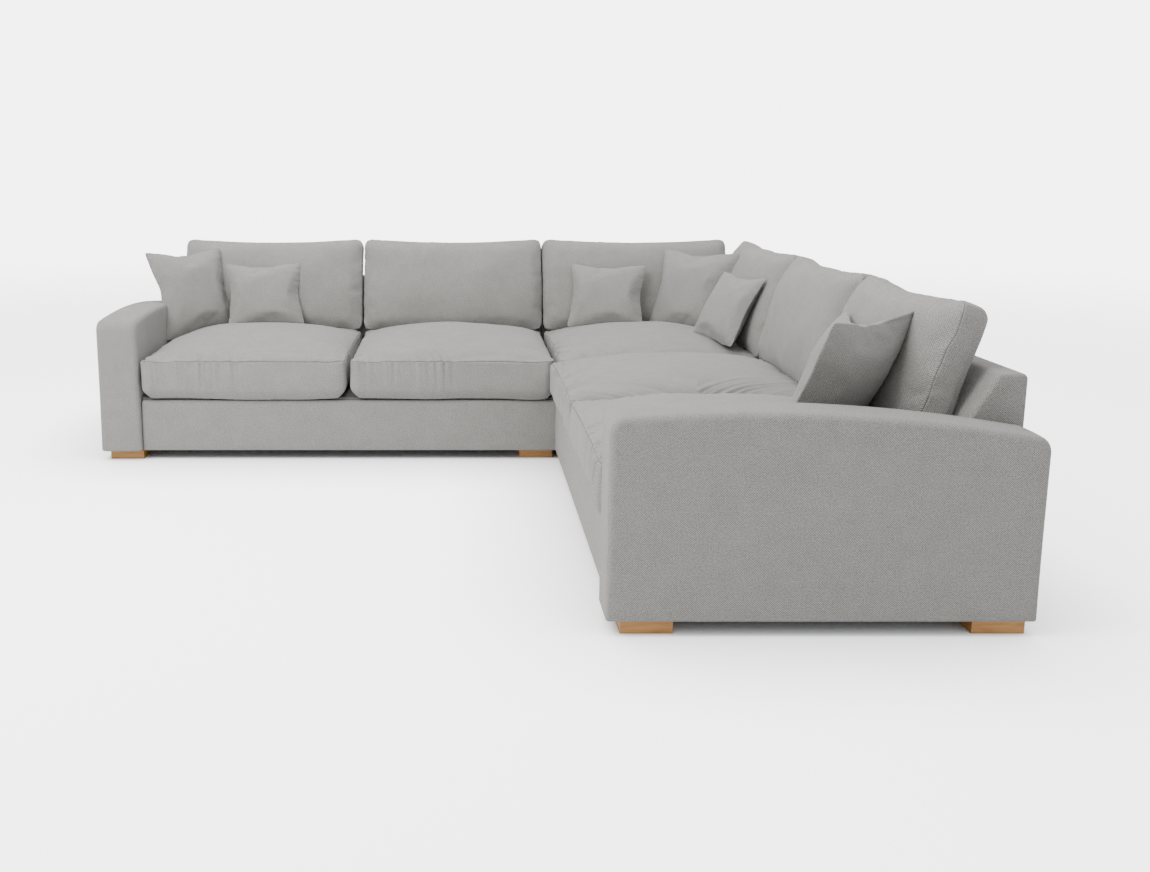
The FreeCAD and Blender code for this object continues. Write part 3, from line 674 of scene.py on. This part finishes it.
def panelGrid(halfWide, halfTall, corner, drawn, wide, tall):
    # flat panel of cloth as a grid whose edge follows the rounded outline
    bottom = sidePath(0, halfWide, halfTall, corner, drawn[0], wide)
    right = sidePath(1, halfWide, halfTall, corner, drawn[1], tall)
    top = sidePath(2, halfWide, halfTall, corner, drawn[2], wide)[::-1]
    left = sidePath(3, halfWide, halfTall, corner, drawn[1], tall)[::-1]
    u = cellShares(wide)[None, :, None]
    v = cellShares(tall)[:, None, None]
    ruled = (1 - v) * bottom[None] + v * top[None] + (1 - u) * left[:, None] + u * right[:, None]
    bilinear = ((1 - u) * (1 - v) * bottom[0] + u * (1 - v) * bottom[-1]
                + (1 - u) * v * top[0] + u * v * top[-1])
    return ruled - bilinear


def crownShare(wide, tall, power, fullness):
    a = cellShares(wide)[None, :] * 2 - 1
    b = cellShares(tall)[:, None] * 2 - 1
    return ((1 - np.abs(a) ** power) * (1 - np.abs(b) ** power)).clip(0, 1) ** fullness


def edgeOrder(wide, tall):
    # grid places round the edge, counter-clockwise from the lower left corner
    order = [(0, i) for i in range(wide)]
    order += [(j, wide) for j in range(tall)]
    order += [(tall, i) for i in range(wide, 0, -1)]
    order += [(j, 0) for j in range(tall, 0, -1)]
    return order


def panelFaces(index, grid, flip, faces, corners, offset=(0.0, 0.0)):
    rows, columns = index.shape
    for j in range(rows - 1):
        for i in range(columns - 1):
            places = [(j, i), (j, i + 1), (j + 1, i + 1), (j + 1, i)]
            if flip:
                places = places[::-1]
            faces.append(tuple(int(index[p]) for p in places))
            corners.append(tuple((grid[p][0] + offset[0], grid[p][1] + offset[1]) for p in places))


def addGrid(points, grid, heights):
    # a panel's points, row by row, and where each of them stands in the list
    index = len(points) + np.arange(heights.size).reshape(heights.shape)
    points.extend(np.dstack([grid, heights]).reshape(-1, 3))
    return index


rearClothAt = (1.7, 0.3)      # where the second panel lies on the flat cloth
underClothAt = (1.3, 0.7)


def knifeEdgedCushion(name, shape):
    # two panels sewn together at their edge
    wide, tall = shape["cells"]
    grid = panelGrid(shape["width"] / 2, shape["tall"] / 2, shape["corner"], shape["drawn"], wide, tall)
    bulge = crownShare(wide, tall, shape["power"], shape["fullness"])
    onEdge = np.zeros((tall + 1, wide + 1), bool)
    onEdge[0] = onEdge[-1] = True
    onEdge[:, 0] = onEdge[:, -1] = True
    points = []
    frontIndex = addGrid(points, grid, shape["front"] * bulge)
    inside = ~onEdge
    rearIndex = frontIndex.copy()
    rearIndex[inside] = len(points) + np.arange(inside.sum())
    points.extend(np.column_stack([grid[inside], -shape["rear"] * bulge[inside]]))
    faces, corners = [], []
    panelFaces(frontIndex, grid, False, faces, corners)
    panelFaces(rearIndex, grid, True, faces, corners, rearClothAt)
    piece = makeObject(name, np.array(points), faces, corners, cushionCloth)
    seam = piece.vertex_groups.new(name="seam")
    seam.add([int(v) for v in frontIndex[onEdge]], 1.0, "REPLACE")
    return piece


def boxedCushion(name, shape):
    # a top panel, a border strip and a bottom panel, with a seam round the top and another round the bottom
    wide, tall = shape["cells"]
    halfWide, halfTall = shape["width"] / 2, shape["deep"] / 2
    grid = panelGrid(halfWide, halfTall, shape["corner"], shape["drawn"], wide, tall)
    crown = crownShare(wide, tall, shape["power"], shape["fullness"])
    order = edgeOrder(wide, tall)
    edge = np.array([grid[place] for place in order])
    middleOut = ringNormals(edge)
    points = []
    topIndex = addGrid(points, grid, shape["border"] + shape["crown"] * crown)
    seamRing = [int(topIndex[place]) for place in order]
    rings = [seamRing]
    heights = [1.0]
    steps, lead = shape["borderSteps"], shape["seamLead"]      # the first ring lies near the seam
    for number in range(1, steps):
        share = 1 - (number - lead) / (steps - lead)
        height = shape["border"] * share
        swell = shape["swell"] * math.sin(math.pi * share)
        under = max(0.0, shape["under"] - height)
        tuck = shape["under"] - math.sqrt(max(0.0, shape["under"] ** 2 - under ** 2))
        ring = edge + middleOut * (swell - tuck)
        rings.append(list(range(len(points), len(points) + len(ring))))
        points.extend((p[0], p[1], height) for p in ring)
        heights.append(share)
    bottomGrid = panelGrid(halfWide - shape["under"], halfTall - shape["under"],
                           max(0.01, shape["corner"] - shape["under"] * 0.5), shape["drawn"], wide, tall)
    bottomIndex = addGrid(points, bottomGrid, np.zeros_like(crown))
    rings.append([int(bottomIndex[place]) for place in order])
    heights.append(0.0)
    around = lengthsAround(edge)
    faces, corners = [], []
    panelFaces(topIndex, grid, False, faces, corners)
    panelFaces(bottomIndex, bottomGrid, True, faces, corners, underClothAt)
    for number in range(len(rings) - 1):
        upper, lower = rings[number], rings[number + 1]
        high, low = heights[number] * shape["border"], heights[number + 1] * shape["border"]
        for i in range(len(order)):
            j = (i + 1) % len(order)
            faces.append((lower[i], lower[j], upper[j], upper[i]))
            corners.append(((around[i], low), (around[i + 1], low), (around[i + 1], high), (around[i], high)))
    piece = makeObject(name, np.array(points), faces, corners, cushionCloth)
    seam = piece.vertex_groups.new(name="seam")
    seam.add(seamRing, 1.0, "REPLACE")
    pinned = piece.vertex_groups.new(name="pinned")
    pinned.add([int(v) for v in bottomIndex.ravel()], 1.0, "REPLACE")
    return piece


clothRun = {"frames": 20, "quality": 6, "mass": 0.3, "airDamping": 1.0}
waiting = []      # pieces that wait for the cloth run, with what it needs


def readyToInflate(piece, cloth):
    waiting.append((piece, cloth, pointsOf(piece)))
    inflate = piece.modifiers.new("inflate", "CLOTH")
    settings = inflate.settings
    settings.quality = clothRun["quality"]
    settings.mass = clothRun["mass"]
    for way in ("tension", "compression", "shear", "bending"):
        setattr(settings, way + "_stiffness", cloth[way])
    settings.air_damping = clothRun["airDamping"]
    settings.use_pressure = True
    settings.uniform_pressure_force = cloth["pressure"]
    settings.effector_weights.gravity = 0.0
    settings.shrink_min = cloth["shrink"]
    if "pinned" in piece.vertex_groups:
        settings.vertex_group_mass = "pinned"
    inflate.collision_settings.use_collision = False
    inflate.collision_settings.use_self_collision = False
    inflate.point_cache.frame_start = 1
    inflate.point_cache.frame_end = clothRun["frames"]


def inflateAll():
    # all cushions swell in one run, each from its own cut of cloth, and none touches another
    scene.frame_start = 1
    scene.frame_end = clothRun["frames"]
    for number in range(1, clothRun["frames"] + 1):
        scene.frame_set(number)
    depsgraph = bpy.context.evaluated_depsgraph_get()
    swollen = []
    for piece, cloth, before in waiting:
        mesh = piece.evaluated_get(depsgraph).to_mesh()
        swollen.append(vectorsOf(mesh.vertices, "co"))
        piece.evaluated_get(depsgraph).to_mesh_clear()
    for (piece, cloth, before), after in zip(waiting, swollen):
        piece.modifiers.clear()
        moved = (after - before) * np.array([cloth["drawIn"], cloth["drawIn"], 1.0])
        far = np.linalg.norm(moved, axis=1)
        kept = np.minimum(1.0, cloth["cap"] / np.maximum(far, 1e-9))
        setPoints(piece, before + moved * kept[:, None])
    scene.frame_set(1)


contact = {"gap": 0.0006, "reach": 0.2}


def pressDown(points, support, direction):
    # what lies inside a support is moved out of it along the direction
    aim = Vector(direction).normalized()
    tree = BVHTree.FromObject(support, bpy.context.evaluated_depsgraph_get())
    for number, point in enumerate(points):
        hit, normal = tree.ray_cast(Vector(point), aim, contact["reach"])[:2]
        if hit is not None and normal.dot(aim) > 0:
            points[number] = hit + aim * contact["gap"]
    return points


def fitTo(points, low, high):
    # scaled so that the outline has the size that it is meant to have
    low, high = np.array(low), np.array(high)
    size = points.max(axis=0) - points.min(axis=0)
    middle = (points.max(axis=0) + points.min(axis=0)) / 2
    return (points - middle) * ((high - low) / size) + (high + low) / 2


def straightenFoot(points, halfWide, halfTall, share):
    # the lower edge of a pillow settles under its own weight
    low = np.clip(-points[:, 1] / halfTall, 0, 1) ** 2
    middle = 1 - np.clip(np.abs(points[:, 0]) / halfWide, 0, 1) ** 2
    points[:, 1] -= share * low * middle
    return points


def ripple(along, number, width):
    # uneven row of soft ridges, between -1 and 1
    return np.array([noise.noise(Vector((a / width, number * 7.31, 0.5))) * 1.6 for a in along]).clip(-1, 1)


def bodyOf(node):
    # each loose cushion is a body of its own
    return node.replace("_cushion", "")


# Seat cushions

seatShape = {"border": 0.152, "crown": 0.080, "corner": 0.042, "under": 0.034, "swell": 0.004,
             "drawn": (0.004, 0.004, 0.004), "power": 2.2, "fullness": 0.80, "cells": (42, 44),
             "borderSteps": 9, "seamLead": 0.7, "cutShort": 0.003, "sewnShort": 0.002, "seamDepth": 0.0055,
             "puckerDepth": 0.0088, "puckerReach": 0.060, "puckerWidth": 0.024, "rumple": 0.0035,
             "flatUnder": True, "seed": 3}
rightSeatGathers = {"seamDepth": 0.0085, "puckerDepth": 0.017, "puckerReach": 0.075, "puckerWidth": 0.017}
seatCloth = {"pressure": 4.0, "tension": 30.0, "compression": 12.0, "shear": 10.0, "bending": 0.4,
             "shrink": -0.015, "cap": 0.012, "drawIn": 1.0}
seatRuns = {"left_seat_cushion_outer": "left", "left_seat_cushion_inner": "left",
            "corner_seat_cushion": "left", "right_seat_cushion_inner": "right",
            "right_seat_cushion_outer": "right"}


def startSeat(node, run):
    low, high = runBox(node, run)
    short = seatShape["cutShort"]
    shape = dict(seatShape, width=high[0] - low[0] - short, deep=high[1] - low[1] - short)
    piece = boxedCushion(node + "_upholstery", shape)
    readyToInflate(piece, seatCloth)
    return piece, shape, low, high


gathering = {"onSeam": 0.95, "seamFrom": 0.6, "seamOver": 0.4, "aroundShare": 0.8, "slowWidth": 0.16,
             "slowSeed": 40, "evenShare": 0.55, "slowShare": 0.45, "quietReach": 0.008, "quietShare": 0.25,
             "underReach": 0.05}
hollowing = {"scale": 6, "heightScale": 3, "seedStep": 3.7, "reach": 0.05, "swing": 2}


def pucker(piece, shape, seed):
    # seam drawn in, with short gathers that run out from it into both panels
    points = pointsOf(piece)
    normals = vectorsOf(piece.data.vertex_normals, "vector")
    seam = weightsOf(piece, "seam")
    seamPoints = points[seam > gathering["onSeam"]]
    tree = KDTree(len(seamPoints))
    for number, point in enumerate(seamPoints):
        tree.insert(point, number)
    tree.balance()
    away = np.array([tree.find(p)[2] for p in points])
    angle = np.arctan2(points[:, 1], points[:, 0])
    around = angle * (np.abs(points[:, 0]) + np.abs(points[:, 1])) * gathering["aroundShare"]
    gathers = ripple(around, seed, shape["puckerWidth"])
    slow = ripple(around, seed + gathering["slowSeed"], gathering["slowWidth"])
    deep = gathering["evenShare"] + gathering["slowShare"] * slow
    fade = np.exp(-away / shape["puckerReach"])
    fade = fade * np.clip(away / gathering["quietReach"], gathering["quietShare"], 1.0)
    if shape.get("flatUnder"):
        fade = fade * np.clip(points[:, 2] / gathering["underReach"], 0, 1)
    points += normals * (gathers * deep * fade * shape["puckerDepth"])[:, None]
    onSeam = np.clip((seam - gathering["seamFrom"]) / gathering["seamOver"], 0, 1)
    points -= normals * (onSeam * shape["seamDepth"])[:, None]
    inner = np.clip(away / hollowing["reach"], 0, 1)      # soft hollows in the filling, none at the seam
    across, lift = hollowing["scale"], seed * hollowing["seedStep"]
    high = hollowing["heightScale"]
    hollows = np.array([noise.noise(Vector((p[0] * across, p[1] * across, p[2] * high + lift)))
                        for p in points])
    points += normals * (hollows * inner * shape["rumple"] * hollowing["swing"])[:, None]
    setPoints(piece, points)


# Back cushions

backCushionShape = {"tall": 0.438, "border": 0.080, "rear": 0.052, "crown": 0.060, "corner": 0.036,
                    "under": 0.020, "swell": 0.003, "power": 2.4, "fullness": 0.60, "dip": 0.020,
                    "cells": (42, 26), "borderSteps": 6, "seamLead": 0.7, "cutShort": 0.002,
                    "lean": 18.0, "middleDepth": 0.918, "middleHeight": 0.620,
                    "seamDepth": 0.0040, "puckerDepth": 0.0026, "puckerReach": 0.05, "puckerWidth": 0.034,
                    "rumple": 0.0045, "endSwell": 0.0002, "seed": 21}
backCloth = {"pressure": 4.0, "tension": 26.0, "compression": 10.0, "shear": 9.0, "bending": 0.4,
             "shrink": -0.02, "cap": 0.022, "drawIn": 0.0}
backRuns = {"left_back_cushion_outer": "left", "left_back_cushion_inner": "left",
            "corner_back_cushion_left": "left", "corner_back_cushion_right": "right",
            "right_back_cushion_inner": "right", "right_back_cushion_outer": "right"}


def startBack(node, run):
    low, high = runBox(node, run)
    shape = dict(backCushionShape, width=high[0] - low[0] - backCushionShape["cutShort"],
                 deep=backCushionShape["tall"], drawn=(0.0, 0.0, backCushionShape["dip"]))
    piece = boxedCushion(node + "_upholstery", shape)
    readyToInflate(piece, backCloth)
    return piece, shape, low, high


def leaningAxes(turn, lean):
    turned, tilted = math.radians(turn), math.radians(lean)
    across = np.array([math.cos(turned), math.sin(turned), 0.0])
    facing = np.array([math.sin(turned), -math.cos(turned), 0.0])
    up = np.array([0.0, 0.0, 1.0]) * math.cos(tilted) - facing * math.sin(tilted)
    return across, up, np.cross(across, up)


def leanPoints(points, middle, turn, lean):
    across, up, out = leaningAxes(turn, lean)
    return (np.array(middle) + points[:, :1] * across + points[:, 1:2] * up + points[:, 2:3] * out)


# Scatter cushions: place along the run, depth, height, turn and lean in degrees

largeScatter = {"width": 0.402, "tall": 0.402, "thick": 0.136}
smallScatter = {"width": 0.345, "tall": 0.305, "thick": 0.104}
scatterShape = {"front": 0.018, "rear": 0.018, "corner": 0.012, "power": 2.0, "fullness": 0.5,
                "drawn": (0.0, 0.0, 0.0), "cells": (30, 30), "seamDepth": 0.0012, "puckerDepth": 0.0030,
                "puckerReach": 0.03, "puckerWidth": 0.016, "rumple": 0.0030, "footDrop": 0.016, "seed": 61}
scatterCloth = {"pressure": 3.0, "tension": 20.0, "compression": 8.0, "shear": 6.0, "bending": 0.25,
                "shrink": -0.01, "cap": 0.12, "drawIn": 0.36}
onLeft = ["left_seat_cushion_outer", "left_back_cushion_outer"]
onRight = ["right_seat_cushion_outer", "right_back_cushion_outer"]
scatterPlaces = {
    "left_scatter_cushion_large": {
        "run": "left", "size": largeScatter, "at": (0.248, 0.681, 0.611), "turn": 47, "lean": 20,
        "on": onLeft, "besideArm": True},
    "left_scatter_cushion_small": {
        "run": "left", "size": smallScatter, "at": (0.560, 0.749, 0.594), "turn": 12, "lean": 24,
        "on": onLeft},
    "corner_scatter_cushion_left": {
        "run": "left", "size": smallScatter, "at": (2.128, 0.748, 0.590), "turn": -12, "lean": 25,
        "on": ["corner_seat_cushion", "corner_back_cushion_left"]},
    "corner_scatter_cushion_large": {
        "run": "left", "size": largeScatter, "at": (2.504, 0.686, 0.609), "turn": -45, "lean": 20,
        "on": ["corner_seat_cushion", "corner_back_cushion_left", "corner_back_cushion_right"]},
    "corner_scatter_cushion_right": {
        "run": "right", "size": smallScatter, "at": (2.030, 0.743, 0.600), "turn": -16, "lean": 28,
        "on": ["corner_seat_cushion", "corner_back_cushion_right"]},
    "right_scatter_cushion_small": {
        "run": "right", "size": smallScatter, "at": (0.676, 0.755, 0.597), "turn": 8, "lean": 24,
        "on": onRight},
    "right_scatter_cushion_large": {
        "run": "right", "size": largeScatter, "at": (0.335, 0.679, 0.610), "turn": 50, "lean": 26,
        "on": onRight, "besideArm": True},
}


def startScatter(node):
    size = scatterPlaces[node]["size"]
    shape = dict(scatterShape, width=size["width"], tall=size["tall"])
    piece = knifeEdgedCushion(node + "_upholstery", shape)
    readyToInflate(piece, scatterCloth)
    return piece, shape


seatStarts = {node: startSeat(node, run) for node, run in seatRuns.items()}
backStarts = {node: startBack(node, run) for node, run in backRuns.items()}
scatterStarts = {node: startScatter(node) for node in scatterPlaces}
inflateAll()
report("cushions inflated")

finished = {}


def sew(piece, points, shape, number):
    setPoints(piece, points)
    subdivide(piece, 2)
    pucker(piece, shape, shape["seed"] + number)


def lay(node, piece, points):
    setPoints(piece, points)
    faceOut(piece)
    settleIn(piece, bodyOf(node), [node])
    finished[node] = piece


for number, (node, run) in enumerate(seatRuns.items()):
    piece, shape, low, high = seatStarts[node]
    points = pointsOf(piece)
    size = points.max(axis=0)[:2] - points.min(axis=0)[:2]
    points[:, 0] *= (high[0] - low[0] - shape["sewnShort"]) / size[0]
    points[:, 1] *= (high[1] - low[1] - shape["sewnShort"]) / size[1]
    if run == "right":
        shape.update(rightSeatGathers)
    sew(piece, points, shape, number)
    points = pointsOf(piece)
    points[:, 0] += (low[0] + high[0]) / 2
    points[:, 1] += (low[1] + high[1]) / 2
    points[:, 2] += low[2]
    lay(node, piece, toRoom(points, run))
report("seat cushions sewn")

forwardOf = {"left": (0.0, -1.0, 0.0), "right": (-1.0, 0.0, 0.0)}
for number, (node, run) in enumerate(backRuns.items()):
    piece, shape, low, high = backStarts[node]
    seat = "corner_seat_cushion" if node.startswith("corner") else node.replace("_back_", "_seat_")
    points = pointsOf(piece)
    half = (high[0] - low[0]) / 2 + shape["endSwell"]
    points[:, 0] *= half / np.abs(points[:, 0]).max()
    points[:, 2] -= shape["rear"]
    sew(piece, points, shape, number)
    middle = ((low[0] + high[0]) / 2, shape["middleDepth"], shape["middleHeight"])
    points = toRoom(leanPoints(pointsOf(piece), middle, 0.0, shape["lean"]), run)
    points = pressDown(points, finished[seat], (0, 0, 1))
    for cover in (backCovers[run], cornerBack):
        points = pressDown(points, cover, forwardOf[run])
    lay(node, piece, points)
report("back cushions sewn")

awayFromArm = {"left": (1.0, 0.0, 1.0), "right": (0.0, 1.0, 1.0)}
for number, (node, place) in enumerate(scatterPlaces.items()):
    piece, shape = scatterStarts[node]
    run, size = place["run"], place["size"]
    half = np.array([size["width"], size["tall"], size["thick"]]) / 2
    points = fitTo(pointsOf(piece), -half, half)
    points = straightenFoot(points, half[0], half[1], shape["footDrop"])
    sew(piece, points, shape, number)
    points = toRoom(leanPoints(pointsOf(piece), place["at"], place["turn"], place["lean"]), run)
    for support in place["on"]:
        direction = (0, 0, 1) if "_seat_" in support else forwardOf[run]
        if support == "corner_back_cushion_right":
            direction = forwardOf["right"]
        points = pressDown(points, finished[support], direction)
    if "besideArm" in place:
        points = pressDown(points, arms[run], awayFromArm[run])
    lay(node, piece, points)
report("scatter cushions sewn")


# Studio

# The floor glows with painted light for the camera, and is left dark as painted shade under and beside the
# sofa.
floorLook = {"size": 60.0, "color": (0.90, 0.905, 0.91), "roughness": 0.9, "paintedGlow": 2.4, "paintedShadeReach": 0.5,
             "paintedShadePower": 2.0, "fadeStart": 3.5, "fadeEnd": 12.0}


def buildFloor():
    half = floorLook["size"] / 2
    mesh = bpy.data.meshes.new("studio_floor")
    mesh.from_pydata([(-half, -half, 0), (half, -half, 0), (half, half, 0), (-half, half, 0)], [],
                     [(0, 1, 2, 3)])
    finish, tree, shader = newFinish("studioFloor")
    shader.inputs["Base Color"].default_value = (*floorLook["color"], 1.0)
    shader.inputs["Roughness"].default_value = floorLook["roughness"]
    shader.inputs["Emission Color"].default_value = (*floorLook["color"], 1.0)
    # painted glow on the floor, seen only by the camera; an ambient occlusion mask keeps it off below and
    # close beside the sofa, which leaves painted shade there
    paintedShadeAO = newNode(tree, "AmbientOcclusion", {"Distance": floorLook["paintedShadeReach"]})
    seen = newNode(tree, "LightPath")
    outsidePaintedShade = mathNode(tree, "POWER", paintedShadeAO.outputs["AO"], floorLook["paintedShadePower"])
    paintedGlow = mathNode(tree, "MULTIPLY", mathNode(tree, "MULTIPLY", outsidePaintedShade, seen.outputs["Is Camera Ray"]),
                    floorLook["paintedGlow"])
    tree.links.new(paintedGlow, shader.inputs["Emission Strength"])
    place = newNode(tree, "TexCoord")
    far = newNode(tree, "VectorMath")
    far.operation = "LENGTH"
    feed(tree, place.outputs["Object"], far.inputs[0])
    fade = newNode(tree, "MapRange", {"Value": far.outputs["Value"], "From Min": floorLook["fadeStart"],
                                      "From Max": floorLook["fadeEnd"]})
    fade.interpolation_type = "SMOOTHSTEP"
    clear = newNode(tree, "BsdfTransparent")
    both = newNode(tree, "MixShader")
    tree.links.new(fade.outputs[0], both.inputs[0])
    tree.links.new(shader.outputs[0], both.inputs[1])
    tree.links.new(clear.outputs[0], both.inputs[2])
    tree.links.new(both.outputs[0], tree.nodes["Material Output"].inputs["Surface"])
    mesh.materials.append(finish)
    floor = bpy.data.objects.new("studio_floor", mesh)
    scene.collection.objects.link(floor)


def softLight(name, look):
    lamp = bpy.data.lights.new(name, "AREA")
    lamp.shape = "RECTANGLE"
    lamp.size, lamp.size_y = look["size"]
    lamp.energy = look["power"]
    lamp.color = look["color"]
    light = bpy.data.objects.new(name, lamp)
    light.location = look["from"]
    aim = Vector(look["towards"]) - Vector(look["from"])
    light.rotation_euler = aim.to_track_quat("-Z", "Y").to_euler()
    scene.collection.objects.link(light)


lights = {
    "key": {"from": (-2.2, -1.9, 3.4), "towards": (-0.5, 1.0, 0.3), "size": (2.6, 1.8), "power": 230.0,
            "color": (1.0, 0.99, 0.97)},
    "top": {"from": (0.0, 0.5, 5.0), "towards": (0.0, 0.3, 0.0), "size": (6.0, 6.0), "power": 315.0,
            "color": (1.0, 1.0, 1.0)},
}
surround = {"color": (0.96, 0.965, 0.97), "strength": 1.45, "backdrop": 6.0}

buildFloor()
for name, look in lights.items():
    softLight(name, look)
world = bpy.data.worlds.new("paleStudio")
world.use_nodes = True
studio = world.node_tree
wall = studio.nodes["Background"]
wall.inputs["Color"].default_value = (*surround["color"], 1.0)
seen = newNode(studio, "LightPath")
wallShare = newNode(studio, "MapRange", {"Value": seen.outputs["Is Camera Ray"],
                                         "To Min": surround["strength"], "To Max": surround["backdrop"]})
studio.links.new(wallShare.outputs[0], wall.inputs["Strength"])
scene.world = world

view = {"from": (-0.0205, -4.3135, 1.192), "down": 10.809, "lens": 37.09, "sensor": 36.0,
        "shift": (0.1028, -0.0413)}
cameraData = bpy.data.cameras.new("photoView")
cameraData.sensor_width = view["sensor"]
cameraData.lens = view["lens"]
cameraData.shift_x, cameraData.shift_y = view["shift"]
camera = bpy.data.objects.new("photoView", cameraData)
camera.location = view["from"]
camera.rotation_euler = (math.radians(90.0 - view["down"]), 0.0, 0.0)
scene.collection.objects.link(camera)
bpy.context.scene.camera = camera
report("studio and camera set")

bpy.context.view_layer.update()
